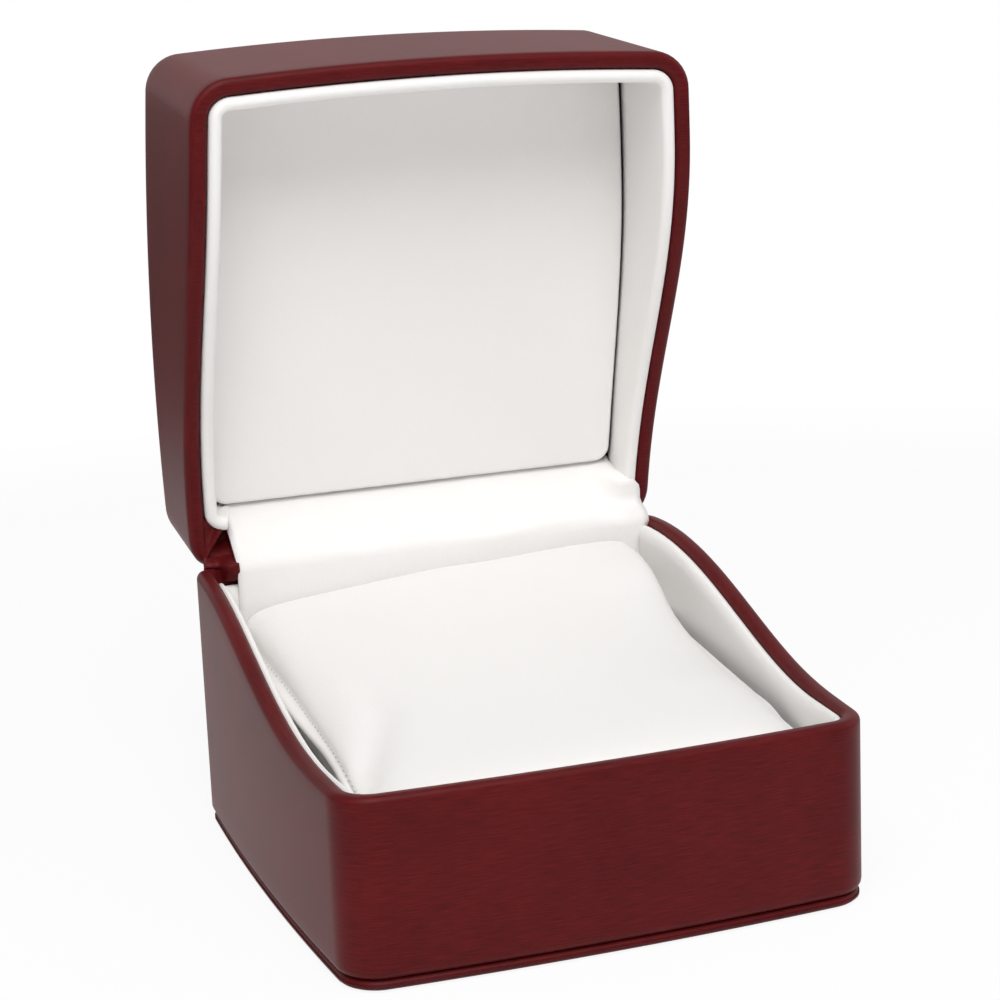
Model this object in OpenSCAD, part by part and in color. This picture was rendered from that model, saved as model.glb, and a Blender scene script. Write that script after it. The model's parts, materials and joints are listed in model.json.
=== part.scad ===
// Leatherette jewellery box with a spring-hinged lid and a loose pillow.
// Millimetres, +X right, +Y to the back, +Z up, origin under the middle of the base.
// The lid is drawn closed and then swung open about the hinge axis.

/* [Box] */
// Width across the corners
box_w = 100; // [80:1:140]
// Depth across the corners
box_d = 102.6; // [80:0.1:140]
// Height of the closed box at the lid's upper edge
box_h = 80; // [72:1:100]
// Radius of the upright corners
corner_r = 8; // [7:0.5:12]
// How far the left and right sides bulge in the middle
side_bow = 1.2; // [0:0.1:3]
// How far the front bulges in the middle
front_bow = 1.4; // [0:0.1:3]

/* [Parting line] */
// Height of the parting line along the front
rim_front_z = 35.7; // [28:0.1:38]
// Height of the parting line along the back
rim_back_z = 52.3; // [46:0.1:54]
// Distance from the front at which the side curve starts to climb
climb_front = 17; // [12:0.5:26]
// Distance from the back at which the side curve is level again
climb_back = 9; // [8:0.5:20]
// Gap between each leatherette rim and the parting line
rim_gap = 0.7; // [0.3:0.05:1]
// Gap between the lid's white lining edge and the parting line
lining_gap = 0.15; // [0.1:0.05:0.3]
// Gap between the base's white lining edge and the parting line
base_lining_gap = 1.5; // [1.2:0.1:2]

/* [Walls] */
// Thickness of the burgundy leatherette
wrap_t = 0.8; // [0.5:0.1:1]
// Thickness of the moulded shell walls
shell_t = 1.8; // [1.5:0.1:2.2]
// Thickness of the card under the lining
card_t = 1; // [0.8:0.1:1.5]
// Thickness of the white lining
lining_t = 0.9; // [0.6:0.1:1.2]
// How far the leatherette is turned in over the rims and under the floor
turn_in = 9; // [6:0.5:12]

/* [Bottom] */
// Thickness of the covered bottom plate
plate_t = 2.1; // [2:0.1:4]
// How far the bottom plate stands in from the walls
plate_inset = 0.4; // [0:0.1:1]
// Thickness of the leatherette on the bottom plate
plate_wrap_t = 0.6; // [0.4:0.1:0.8]
// Depth of the shadow groove above the bottom plate
groove_depth = 1.2; // [0.6:0.1:2]
// Height of the shadow groove above the bottom plate
groove_h = 0.6; // [0.4:0.1:0.7]
// Thickness of the shell's floor
floor_t = 2; // [1.5:0.1:3]
// Thickness of the card that lines the floor
floor_card_t = 1.2; // [0.8:0.1:2]

/* [Lid] */
// How far the lid's upper edge stands in from its rim
lid_draft = 0.5; // [0:0.1:3]
// Radius of the lid's upper edge
lid_edge_r = 3; // [2:0.5:5]
// Height of the crown on the lid
lid_crown = 2.6; // [0.5:0.1:3]
// Extra room between the lid's rim and its lining
lid_lining_room = 0.8; // [0.5:0.1:1.2]
// Height of the face of the inner pad, lid closed
pad_face_z = 60.1; // [59:0.1:62]
// Thickness of the padded part of the inner pad
pad_t = 3.2; // [2.5:0.1:4]
// Thickness of the board that carries the pad
pad_board_t = 1.5; // [1:0.1:2]
// Clearance between the pad and the lining round it
pad_room = 0.4; // [0.2:0.1:0.8]
// Distance from the hinge axis to the pad's near edge
pad_to_hinge = 9.6; // [9:0.1:12]
// Radius of the pad's corners
pad_corner_r = 5; // [3:0.5:7]

/* [Hinge] */
// Distance from the back of the box to the hinge axis
axis_inset = 2.7; // [2.5:0.1:3.2]
// How far the lid opens, in degrees
open_angle = 84; // [78:1:90]
// Radius of the hinge pins
pin_r = 0.9; // [0.7:0.05:1]
// Radial clearance of the pins in the lid's knuckles
pin_clearance = 0.05; // [0.02:0.01:0.08]
// Outer radius of the knuckles
knuckle_r = 1.5; // [1.4:0.05:1.6]
// Thickness of the hinge leaves and of the rivet heads
leaf_t = 0.6; // [0.4:0.1:0.7]
// Half width of the hinge leaves
leaf_half_w = 27; // [26:0.5:32]
// Height of each hinge leaf
leaf_h = 13; // [11:0.5:14]
// Length of each knuckle
knuckle_len = 6; // [4:0.5:6]
// Distance from the middle of the hinge to the first knuckle
knuckle_start = 7; // [6:0.5:8]
// Clearance between neighbouring knuckles
knuckle_gap = 0.25; // [0.15:0.05:0.4]
// Clearance round the knuckles in the back walls
knuckle_clearance = 0.4; // [0.3:0.05:0.5]
// Clearance between a leaf's edge and the other leaf's knuckles
leaf_clearance = 0.3; // [0.2:0.05:0.4]
// Room round the leaves in the back walls
leaf_room = 1.5; // [1:0.1:2]
// Radius of the rivets
rivet_r = 1; // [0.8:0.1:1.2]
// Distance from a leaf's ends to its outer rivets
rivet_end = 6; // [4:0.5:8]
// Distance from a leaf's far edge to its rivets
rivet_edge = 3.5; // [3:0.1:4.5]
// Thickness of shell left behind each rivet
rivet_cover = 0.4; // [0.3:0.05:0.6]
// Width of the flat spring
spring_w = 9; // [6:0.5:10]
// Thickness of the flat spring
spring_t = 0.3; // [0.2:0.05:0.4]
// Half the gap that the folded hinge strip lies in when the lid is open
fold_gap = 1.1; // [1:0.05:1.3]
// Half width of the folded hinge strip
strip_half_w = 41; // [36:0.5:42]
// Half width of the white flap that hides the hinge
flap_half_w = 42; // [36:0.5:42.5]
// Distance between the hinge axis and the white flap where it slopes up into the lid
flap_clear = 2.5; // [2.3:0.1:3]
// Radius of the bend in the white flap
flap_bend_r = 4; // [3:0.5:5]
// Slope of the white flap inside the lid, in degrees from level
flap_slope = 39; // [36:1:42]

/* [Pillow] */
// Gap between each end seam of the pillow and the lining
pillow_side_gap = 1.7; // [1.2:0.1:8]
// Gap between the pillow and the lining at the front
pillow_front_gap = 1.8; // [1.2:0.1:8]
// Thickness of the pillow along its front
pillow_front_h = 29.3; // [26:0.1:32]
// Rise of the pillow's top from its front to its back
pillow_rise = 12.5; // [6:0.5:14]
// Height of the end seams above the pillow's underside, in their middle
seam_h = 26.2; // [22:0.1:28]
// How steeply the end seams climb to the back
seam_climb = 0.11; // [0:0.01:0.2]
// How much slacker the left half of the pillow is towards its seam
left_slack = 0.35; // [0:0.05:0.4]
// Half thickness of the pillow at its end seams
seam_half_t = 1.4; // [1.2:0.1:2]
// Thickness of the pillow's cover
cover_t = 1; // [0.8:0.1:1.2]
// Clearance between the pillow and what is round it
pillow_room = 0.3; // [0.2:0.1:0.6]
// Length of a stitch on the end seams
stitch_len = 2.4; // [1.6:0.1:3]
// Radius of the sewing thread
thread_r = 0.25; // [0.2:0.05:0.35]
// Number of stitches on each end seam
stitch_count = 18; // [10:1:22]

/* [Hidden] */

BURGUNDY = "#6b1f27";
WHITE = "#f2f0ee";
CARD = "#b9ab93";
STEEL = "#a9abae";
SHELL = "#3a3536";
FOAM = "#dcd6c4";

SIDE_STEPS = 6;
CORNER_STEPS = 6;
CLIMB_STEPS = 20;
BIG = 400;
MIN_R = 0.6;

wall_t = wrap_t + shell_t + wrap_t;
back_y = box_d / 2;
hinge_y = back_y - axis_inset;
hinge_z = rim_back_z;
leaf_y = back_y - wrap_t - shell_t;
bevel = open_angle / 2;

shell_z = plate_t + wrap_t;
liner_z = shell_z + floor_t;
floor_lining_z = liner_z + floor_card_t;
pillow_z = floor_lining_z + lining_t + pillow_room;

liner_inset = wall_t;
lid_liner_inset = wall_t + lid_lining_room;
liner_t = card_t + lining_t;
flap_y = back_y - liner_inset - liner_t - lining_t / 2;

// Outlines seen from above

function bow(t, half, b) = b * (1 - pow(t / half, 2));

function corner(cx, cy, r, a0) =
    [for (i = [0:CORNER_STEPS]) let (a = a0 + 90 * i / CORNER_STEPS) [cx + r * cos(a), cy + r * sin(a)]];

// Rounded rectangle with bowed sides and front and a straight back, set in by a distance
function outline(inset) =
    let (hx = box_w / 2 - inset, y0 = -box_d / 2 + inset, y1 = box_d / 2 - inset,
         r = max(corner_r - inset, MIN_R), lx = hx - r, ym = (y0 + y1) / 2, ly = (y1 - y0) / 2 - r,
         n = SIDE_STEPS)
    concat(
        corner(lx, y1 - r, r, 0),
        corner(-lx, y1 - r, r, 90),
        [for (i = [1:n - 1]) let (y = ly * (1 - 2 * i / n)) [-hx - bow(y, ly, side_bow), ym + y]],
        corner(-lx, y0 + r, r, 180),
        [for (i = [1:n - 1]) let (x = -lx * (1 - 2 * i / n)) [x, y0 - bow(x, lx, front_bow)]],
        corner(lx, y0 + r, r, 270),
        [for (i = [1:n - 1]) let (y = -ly * (1 - 2 * i / n)) [hx + bow(y, ly, side_bow), ym + y]]);

module block(inset, z0, z1) {
    translate([0, 0, z0]) linear_extrude(z1 - z0) polygon(outline(inset));
}

// Side profiles, drawn as [y, z] and extruded along X

module profile(points, width) {
    rotate([90, 0, 90]) linear_extrude(width, center = true) polygon(points);
}

climb_y0 = -box_d / 2 + climb_front;
climb_y1 = box_d / 2 - climb_back;

// Height of the parting line at a given depth
function rim_z(y) =
    let (t = min(max((y - climb_y0) / (climb_y1 - climb_y0), 0), 1))
    rim_front_z + (rim_back_z - rim_front_z) * (1 - cos(180 * t)) / 2;

// The parting line moved up (side 1) or down (side -1) by a gap, with the bevel behind the hinge axis
function parting(side, gap) =
    let (level = rim_back_z + side * gap, across = (fold_gap + max(gap - rim_gap, 0)) / cos(bevel),
         y_bevel = hinge_y + (gap - across) / tan(bevel),
         z_end = hinge_z + side * ((BIG - hinge_y) * tan(bevel) + across))
    concat(
        [[-BIG, rim_front_z + side * gap]],
        [for (i = [0:CLIMB_STEPS])
            let (y = climb_y0 + (climb_y1 - climb_y0) * i / CLIMB_STEPS) [y, rim_z(y) + side * gap]],
        [[y_bevel, level], [BIG, z_end]]);

module below_parting(gap) {
    profile(concat(parting(-1, gap), [[BIG, -2 * BIG], [-BIG, -2 * BIG]]), 2 * BIG);
}

module above_parting(gap) {
    profile(concat(parting(1, gap), [[BIG, 2 * BIG], [-BIG, 2 * BIG]]), 2 * BIG);
}

// Swings a piece of the closed lid open about the hinge axis
module lid_open() {
    translate([0, hinge_y, hinge_z]) rotate([-open_angle, 0, 0])
        translate([0, -hinge_y, -hinge_z]) children();
}

module on_axis() {
    translate([0, hinge_y, hinge_z]) children();
}

// A rod along X between two places
module rod(r, x0, x1) {
    translate([x0, 0, 0]) rotate([0, 90, 0]) cylinder(r = r, h = x1 - x0, $fn = 48);
}

// Hinge

knuckle_room = knuckle_r + knuckle_clearance;
barrel_end = knuckle_start + 3 * knuckle_len + 2 * knuckle_gap;
leaf_gap = knuckle_r + leaf_clearance;
hinge_room_half_w = leaf_half_w + leaf_room;
hinge_room_h = leaf_h + leaf_room;
hinge_room_d = wrap_t + lid_lining_room + 2 * liner_t;
leaf_rel_y = leaf_y - hinge_y;
rivet_x = leaf_half_w - rivet_end;
rivet_rel_z = leaf_h - rivet_edge;

// How far the lid's back wall has leaned in at the height of its rivets
lid_lean = lid_draft * (hinge_z + rivet_rel_z - rim_front_z) / (box_h - lid_edge_r - rim_front_z);

// Depth of a rivet in the shell
function rivet_depth(side) = shell_t - rivet_cover - (side > 0 ? lid_lean : 0);

// Room that the hinge needs inside a back wall, as seen from the hinge axis (side -1 base, side 1 lid)
module hinge_room(side) {
    on_axis() rod(knuckle_room, -hinge_room_half_w, hinge_room_half_w);
    translate([-hinge_room_half_w, leaf_y - hinge_room_d, side > 0 ? hinge_z : hinge_z - hinge_room_h])
        cube([2 * hinge_room_half_w, hinge_room_d, hinge_room_h]);
}

// Where the linings stop beside the white flap
module flap_notch(z0) {
    half_w = flap_half_w + pillow_room;
    translate([-half_w, leaf_y - hinge_room_d, z0]) cube([2 * half_w, hinge_room_d, BIG]);
}

// Left end of knuckle number i on one half of the hinge
function knuckle_x(i) = knuckle_start + i * (knuckle_len + knuckle_gap);

// Places of the rivets along X, the middle one through the spring
rivet_places = [-rivet_x, 0, rivet_x];

module at_rivets(side) {
    for (x = rivet_places) translate([x, leaf_y, hinge_z + side * rivet_rel_z]) rotate([90, 0, 0]) children();
}

// One hinge leaf with its knuckles: the base has the outer two of each three, the lid the middle one
module hinge_leaf(side, knuckles, bore_r) {
    difference() {
        union() {
            translate([-leaf_half_w, leaf_y - leaf_t, side > 0 ? hinge_z + leaf_gap : hinge_z - leaf_h])
                cube([2 * leaf_half_w, leaf_t, leaf_h - leaf_gap]);
            for (i = knuckles, m = [0, 1]) mirror([m, 0, 0]) {
                on_axis() rod(knuckle_r, knuckle_x(i), knuckle_x(i) + knuckle_len);
                translate([knuckle_x(i), leaf_y - leaf_t, side > 0 ? hinge_z : hinge_z - leaf_gap])
                    cube([knuckle_len, leaf_t, leaf_gap]);
            }
        }
        on_axis() rod(bore_r, -2 * barrel_end, 2 * barrel_end);
        at_rivets(side) cylinder(r = rivet_r, h = 4 * leaf_t, center = true, $fn = 32);
    }
}

// Rivets with flat heads on the inside; the middle one also holds an end of the spring
module rivet_set(side) {
    color(STEEL) for (x = rivet_places) {
        grip = leaf_t + (x == 0 ? spring_t : 0);
        translate([x, leaf_y, hinge_z + side * rivet_rel_z]) rotate([90, 0, 0]) {
            translate([0, 0, -rivet_depth(side)])
                cylinder(r = rivet_r, h = rivet_depth(side) + grip, $fn = 32);
            translate([0, 0, grip]) cylinder(r = 2 * rivet_r, h = leaf_t, $fn = 32);
        }
    }
}

module rivet_holes(side) {
    at_rivets(side) translate([0, 0, -rivet_depth(side)]) cylinder(r = rivet_r, h = 2 * shell_t, $fn = 32);
}

module hinge_leaf_base() {
    color(STEEL) hinge_leaf(-1, [0, 2], pin_r);
}

module hinge_leaf_lid() {
    color(STEEL) lid_open() hinge_leaf(1, [1], pin_r + pin_clearance);
}

module hinge_rivets_base() {
    rivet_set(-1);
}

module hinge_rivets_lid() {
    lid_open() rivet_set(1);
}

module hinge_pin_right() {
    color(STEEL) on_axis() rod(pin_r, knuckle_start, barrel_end);
}

module hinge_pin_left() {
    color(STEEL) on_axis() rod(pin_r, -barrel_end, -knuckle_start);
}

// A bend about the hinge axis in a band of even thickness, as [y, z] points from the axis
function turned(p, a) = [p[0] * cos(a) + p[1] * sin(a), p[1] * cos(a) - p[0] * sin(a)];

// Flat spring that lies on both leaves and bends round the axis between the two pins
BEND_STEPS = 12;
spring_y = leaf_rel_y - leaf_t - spring_t / 2;
spring_end = leaf_h - 1;

function spring_side(off) =
    let (y = spring_y + off)
    concat(
        [[y, -spring_end]],
        [for (i = [0:BEND_STEPS]) turned([y, 0], open_angle * i / BEND_STEPS)],
        [turned([y, spring_end], open_angle)]);

function reversed(list) = [for (i = [len(list) - 1:-1:0]) list[i]];

module hinge_spring() {
    color(STEEL) difference() {
        on_axis() profile(concat(spring_side(-spring_t / 2), reversed(spring_side(spring_t / 2))), spring_w);
        rivet_bore(-1);
        lid_open() rivet_bore(1);
    }
}

module rivet_bore(side) {
    translate([0, leaf_y, hinge_z + side * rivet_rel_z]) rotate([90, 0, 0])
        cylinder(r = rivet_r, h = 4 * leaf_t, center = true, $fn = 32);
}

// Burgundy strip folded into the bevelled gap behind the hinge axis
module hinge_strip() {
    half = fold_gap - lining_gap;
    s0 = knuckle_room + leaf_clearance;
    s1 = axis_inset / cos(bevel) - lining_gap;
    slot = half - wrap_t;
    color(BURGUNDY) on_axis() rotate([-bevel, 0, 0])
        profile([[s0, -half], [s1, -half], [s1, -slot], [s0 + wrap_t, -slot],
                 [s0 + wrap_t, slot], [s1, slot], [s1, half], [s0, half]], 2 * strip_half_w);
}

// White flap from behind the pillow, over the hinge and up to the pad in the lid
flap_rel_y = flap_y - hinge_y;
flap_dir = [cos(flap_slope), sin(flap_slope)];
flap_turn = 90 - flap_slope;
// Where the sloping line, set off from the axis, meets the upright one
flap_knee_z = (flap_clear + flap_rel_y * sin(flap_slope)) / cos(flap_slope);
flap_tangent = flap_bend_r * tan(flap_turn / 2);
flap_bend_z = flap_knee_z - flap_tangent;
pad_edge = turned([-pad_to_hinge, pad_face_z - hinge_z], open_angle);
flap_bend_end_z = flap_bend_z + flap_bend_r * sin(flap_turn);
flap_reach = (pad_edge[1] - pad_room - lining_t / 2 * flap_dir[0] - flap_bend_end_z) / flap_dir[1];

function flap_side(off) =
    let (cy = flap_rel_y + flap_bend_r, r = flap_bend_r - off,
         tip = [cy - r * cos(flap_turn), flap_bend_z + r * sin(flap_turn)])
    concat(
        [[flap_rel_y + off, floor_lining_z + lining_t + pillow_room - hinge_z]],
        [for (i = [0:BEND_STEPS]) let (a = flap_turn * i / BEND_STEPS)
            [cy - r * cos(a), flap_bend_z + r * sin(a)]],
        [tip + flap_reach * flap_dir]);

module hinge_flap() {
    color(WHITE) on_axis()
        profile(concat(flap_side(-lining_t / 2), reversed(flap_side(lining_t / 2))), 2 * flap_half_w);
}

// Base

// Moulded tub with a sloping rim
module base_shell_solid() {
    difference() {
        intersection() {
            block(wrap_t, shell_z, BIG);
            below_parting(rim_gap + wrap_t);
        }
        block(wrap_t + shell_t, liner_z, 2 * BIG);
    }
}

module base_shell() {
    color(SHELL) difference() {
        base_shell_solid();
        hinge_room(-1);
        rivet_holes(-1);
    }
}

// Leatherette skin outside the tub, over its rim and a little way down inside and under the floor
module base_wrap() {
    color(BURGUNDY) difference() {
        intersection() {
            union() {
                block(groove_depth, plate_t, plate_t + groove_h);
                block(0, plate_t + groove_h, BIG);
            }
            below_parting(rim_gap);
        }
        base_shell_solid();
        block(wall_t, liner_z - floor_t / 2, 2 * BIG);
        block(turn_in, plate_t - plate_wrap_t, shell_z);
        intersection() {
            block(wrap_t + shell_t, liner_z, 2 * BIG);
            below_parting(rim_gap + turn_in);
        }
        hinge_room(-1);
    }
}

module bottom_board() {
    color(CARD) block(plate_inset + plate_wrap_t, plate_wrap_t, plate_t - plate_wrap_t);
}

module bottom_wrap() {
    color(BURGUNDY) difference() {
        block(plate_inset, 0, plate_t);
        block(plate_inset + plate_wrap_t, plate_wrap_t, plate_t - plate_wrap_t);
        block(turn_in, plate_t - 2 * plate_wrap_t, 2 * plate_t);
    }
}

// Card ring that stands on the floor of the tub, notched for the hinge
module liner_ring(inset, thickness, gap) {
    difference() {
        intersection() {
            block(inset, liner_z, BIG);
            below_parting(gap);
        }
        block(inset + thickness, 0, 2 * BIG);
        flap_notch(hinge_z - hinge_room_h);
    }
}

module base_liner_card() {
    color(CARD) liner_ring(liner_inset, card_t, base_lining_gap + lining_t);
}

module base_lining() {
    color(WHITE) difference() {
        liner_ring(liner_inset, liner_t, base_lining_gap);
        liner_ring(liner_inset, card_t, base_lining_gap + lining_t);
    }
}

floor_inset = liner_inset + liner_t + pillow_room;

module floor_card() {
    color(CARD) block(floor_inset, liner_z, floor_lining_z);
}

module floor_lining() {
    color(WHITE) difference() {
        block(floor_inset, floor_lining_z, floor_lining_z + lining_t);
        translate([-BIG, flap_y - lining_t / 2 - pillow_room, 0]) cube([2 * BIG, BIG, BIG]);
    }
}

// Lid, drawn closed

// Body of the lid set in by a distance: drafted walls, rounded upper edge and a low crown
module lid_body(inset) {
    slab = 0.05;
    top = box_h - inset;
    edge = lid_edge_r;
    hull() {
        block(inset, rim_front_z - turn_in, rim_front_z);
        for (a = [0, 30, 60, 90]) {
            z = top - edge * (1 - sin(a));
            block(inset + lid_draft + edge * (1 - cos(a)), z - slab, z);
        }
        for (k = [0.4, 0.75])
            block(inset + lid_draft + edge + k * box_w / 3, top, top + lid_crown * (1 - pow(1 - k, 2)));
    }
}

module lid_shell_solid() {
    difference() {
        intersection() {
            lid_body(wrap_t);
            above_parting(rim_gap + wrap_t);
        }
        lid_body(wrap_t + shell_t);
    }
}

module lid_shell() {
    color(SHELL) lid_open() difference() {
        lid_shell_solid();
        hinge_room(1);
        rivet_holes(1);
    }
}

// Leatherette skin outside the lid, over its rim and a little way up inside
module lid_wrap() {
    color(BURGUNDY) lid_open() difference() {
        intersection() {
            lid_body(0);
            above_parting(rim_gap);
        }
        lid_shell_solid();
        block(wall_t, rim_front_z - 2 * turn_in, rim_back_z + 2 * turn_in);
        intersection() {
            lid_body(wrap_t + shell_t);
            above_parting(rim_gap + turn_in);
        }
        hinge_room(1);
    }
}

pad_board_z = pad_face_z + pad_t;
foam_block_z = pad_board_z + pad_board_t;
foam_block_top = box_h - 2 * (wrap_t + shell_t);

module lid_ring(inset, thickness, gap) {
    difference() {
        intersection() {
            block(inset, rim_front_z - turn_in, pad_board_z);
            above_parting(gap);
        }
        block(inset + thickness, rim_front_z - 2 * turn_in, BIG);
        flap_notch(hinge_z);
    }
}

module lid_liner_card() {
    color(CARD) lid_open() lid_ring(lid_liner_inset, card_t, lining_gap + lining_t);
}

module lid_lining() {
    color(WHITE) lid_open() difference() {
        lid_ring(lid_liner_inset, liner_t, lining_gap);
        lid_ring(lid_liner_inset, card_t, lining_gap + lining_t);
    }
}

// Outline of the pad: bowed like the box, cut short at the hinge, with its own rounded corners
pad_inset = lid_liner_inset + liner_t + pad_room;
pad_hx = box_w / 2 - pad_inset;
pad_y0 = -box_d / 2 + pad_inset;
pad_y1 = hinge_y - pad_to_hinge;

function pad_outline(inset) =
    let (hx = pad_hx - inset, y0 = pad_y0 + inset, y1 = pad_y1 - inset, r = max(pad_corner_r - inset, 0.6),
         lx = hx - r, ym = (y0 + y1) / 2, ly = (y1 - y0) / 2 - r, n = SIDE_STEPS)
    concat(
        corner(lx, y1 - r, r, 0),
        corner(-lx, y1 - r, r, 90),
        [for (i = [1:n - 1]) let (y = ly * (1 - 2 * i / n)) [-hx - bow(y, ly, side_bow), ym + y]],
        corner(-lx, y0 + r, r, 180),
        [for (i = [1:n - 1]) let (x = -lx * (1 - 2 * i / n)) [x, y0 - bow(x, lx, front_bow)]],
        corner(lx, y0 + r, r, 270),
        [for (i = [1:n - 1]) let (y = -ly * (1 - 2 * i / n)) [hx + bow(y, ly, side_bow), ym + y]]);

module pad_slab(inset, z0, z1) {
    translate([0, 0, z0]) linear_extrude(z1 - z0) polygon(pad_outline(inset));
}

// The soft face of the pad, with rounded edges
module pad_form() {
    slab = 0.05;
    r = pad_t / 2;
    hull() {
        pad_slab(0, pad_face_z + r, pad_board_z);
        for (a = [30, 60, 90])
            pad_slab(r * (1 - cos(a)), pad_face_z + r * (1 - sin(a)), pad_face_z + r * (1 - sin(a)) + slab);
    }
}

module pad_core() {
    pad_slab(lining_t, pad_face_z + lining_t, pad_board_z);
}

module lid_pad_cover() {
    color(WHITE) lid_open() difference() {
        pad_form();
        pad_core();
    }
}

module lid_pad_foam() {
    color(FOAM) lid_open() pad_core();
}

module lid_pad_board() {
    color(CARD) lid_open() pad_slab(0, pad_board_z, foam_block_z);
}

module lid_foam_block() {
    color(FOAM) lid_open() pad_slab(pad_corner_r, foam_block_z, foam_block_top);
}

// Pillow

PILLOW_RINGS = 18;
PILLOW_SIDES = 26;
// Powers that set how boxy the pillow is along its length and round its section
SEAM_POWER = 4;
SECTION_POWER = 0.4;
// Share of the depth by which the sides draw in between the seams' ends
DRAW_IN = 0.04;
pillow_back_y = flap_y - lining_t / 2 - pillow_room;
pillow_front_y = -box_d / 2 + liner_inset + liner_t + pillow_front_gap;
pillow_d = pillow_back_y - pillow_front_y;
pillow_y = (pillow_back_y + pillow_front_y) / 2;
pillow_w = box_w - 2 * (liner_inset + liner_t + pillow_side_gap);

function signed_pow(v, p) = sign(v) * pow(abs(v), p);

function ease(t) = let (c = min(max(t, 0), 1)) c * c * (3 - 2 * c);

// Height of the end seams at a given depth
function seam_z(y) = pillow_z + seam_h + seam_climb * (y - pillow_y);

// Height of the pillow's top along its middle at a given depth
function pillow_top_z(y) = pillow_z + pillow_front_h + pillow_rise * ease((y - pillow_front_y) / pillow_d);

// How full the pillow is above its seams and below them, u running from seam to seam
function swell_below(u) = pow(1 - pow(abs(u), SEAM_POWER), 0.5);
function swell_above(u) = swell_below(u) * (1 - left_slack * max(-u, 0));

// One point of the pillow: u runs from seam to seam, a goes round the section, set in by a distance
function pillow_point(u, a, inset) =
    let (half_d = pillow_d / 2 * (1 - DRAW_IN * (1 - swell_below(u))) - inset,
         y = pillow_y + half_d * signed_pow(cos(a), SECTION_POWER),
         share = signed_pow(sin(a), SECTION_POWER),
         above = (pillow_top_z(y) - seam_z(y) - seam_half_t) * swell_above(u),
         below = (seam_z(y) - pillow_z - seam_half_t) * swell_below(u),
         z = seam_z(y) + share * (seam_half_t - inset + (share > 0 ? above : below)))
    [u * (pillow_w / 2 - inset), y, max(z, pillow_z + inset)];

// Ring positions crowd towards the seams
function ring_u(i, rings) = sin(90 * (2 * i / rings - 1));

module pillow_form(inset, rings, sides) {
    points = [for (i = [0:rings], k = [0:sides - 1]) pillow_point(ring_u(i, rings), 360 * k / sides, inset)];
    walls = [for (i = [0:rings - 1], k = [0:sides - 1])
        let (a = i * sides + k, b = i * sides + (k + 1) % sides)
        each [[a, b + sides, b], [a, a + sides, b + sides]]];
    first = [for (k = [1:sides - 2]) [0, k, k + 1]];
    last = [for (k = [1:sides - 2]) let (o = rings * sides) [o, o + k + 1, o + k]];
    polyhedron(points = points, faces = concat(walls, first, last), convexity = 4);
}

module pillow_cover() {
    color(WHITE) difference() {
        pillow_form(0, PILLOW_RINGS, PILLOW_SIDES);
        pillow_form(cover_t, PILLOW_RINGS, PILLOW_SIDES);
    }
}

module pillow_filling() {
    color(FOAM) pillow_form(cover_t, PILLOW_RINGS, PILLOW_SIDES);
}

// Stitches along both end seams, stopping short of the corners
STITCHED_SHARE = 0.8;
STITCH_GAP = 0.4;

module pillow_stitching() {
    pitch = pillow_d * STITCHED_SHARE / stitch_count;
    color(WHITE) for (side = [-1, 1], i = [0:stitch_count - 1]) {
        y = pillow_y + pitch * (i - (stitch_count - 1) / 2);
        z = seam_z(y);
        translate([side * pillow_w / 2, y, z]) rotate([90, 0, 0])
            cylinder(r = thread_r, h = min(stitch_len, pitch - STITCH_GAP), center = true, $fn = 16);
    }
}

base_shell();
base_wrap();
bottom_board();
bottom_wrap();
base_liner_card();
base_lining();
floor_card();
floor_lining();
hinge_leaf_base();
hinge_rivets_base();
hinge_pin_left();
hinge_pin_right();
hinge_spring();
hinge_strip();
hinge_flap();
lid_shell();
lid_wrap();
lid_liner_card();
lid_lining();
lid_foam_block();
lid_pad_board();
lid_pad_foam();
lid_pad_cover();
hinge_leaf_lid();
hinge_rivets_lid();
pillow_cover();
pillow_filling();
pillow_stitching();
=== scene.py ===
import json
import math

import bpy
from bpy.props import FloatProperty, PointerProperty, StringProperty
from mathutils import Matrix, Vector, noise


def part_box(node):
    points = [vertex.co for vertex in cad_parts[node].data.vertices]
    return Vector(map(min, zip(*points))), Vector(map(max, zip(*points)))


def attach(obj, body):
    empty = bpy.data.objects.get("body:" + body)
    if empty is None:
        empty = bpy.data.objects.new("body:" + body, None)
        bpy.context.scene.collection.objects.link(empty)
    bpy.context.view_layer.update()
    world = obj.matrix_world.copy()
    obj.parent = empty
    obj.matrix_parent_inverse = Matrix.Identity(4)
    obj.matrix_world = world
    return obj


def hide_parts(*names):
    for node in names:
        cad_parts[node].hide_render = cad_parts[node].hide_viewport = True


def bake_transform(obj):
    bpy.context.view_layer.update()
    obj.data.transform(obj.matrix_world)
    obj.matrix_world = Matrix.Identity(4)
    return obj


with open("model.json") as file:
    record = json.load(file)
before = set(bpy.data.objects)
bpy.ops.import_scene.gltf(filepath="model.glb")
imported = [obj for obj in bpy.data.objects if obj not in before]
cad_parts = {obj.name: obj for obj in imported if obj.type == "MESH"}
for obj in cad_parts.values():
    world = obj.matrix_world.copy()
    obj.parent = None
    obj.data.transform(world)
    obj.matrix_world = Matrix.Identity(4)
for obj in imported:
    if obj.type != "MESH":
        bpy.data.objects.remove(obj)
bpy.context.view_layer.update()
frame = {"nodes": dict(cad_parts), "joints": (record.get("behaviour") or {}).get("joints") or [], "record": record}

bl_info = {
    "name": "Pillow jewellery box",
    "version": (1, 0, 0),
    "blender": (4, 5, 0),
    "location": "View3D > Sidebar > Jewellery box",
    "description": "Dresses a leatherette jewellery box with its wraps, linings, pad, flap and pillow",
    "category": "Object",
}

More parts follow.
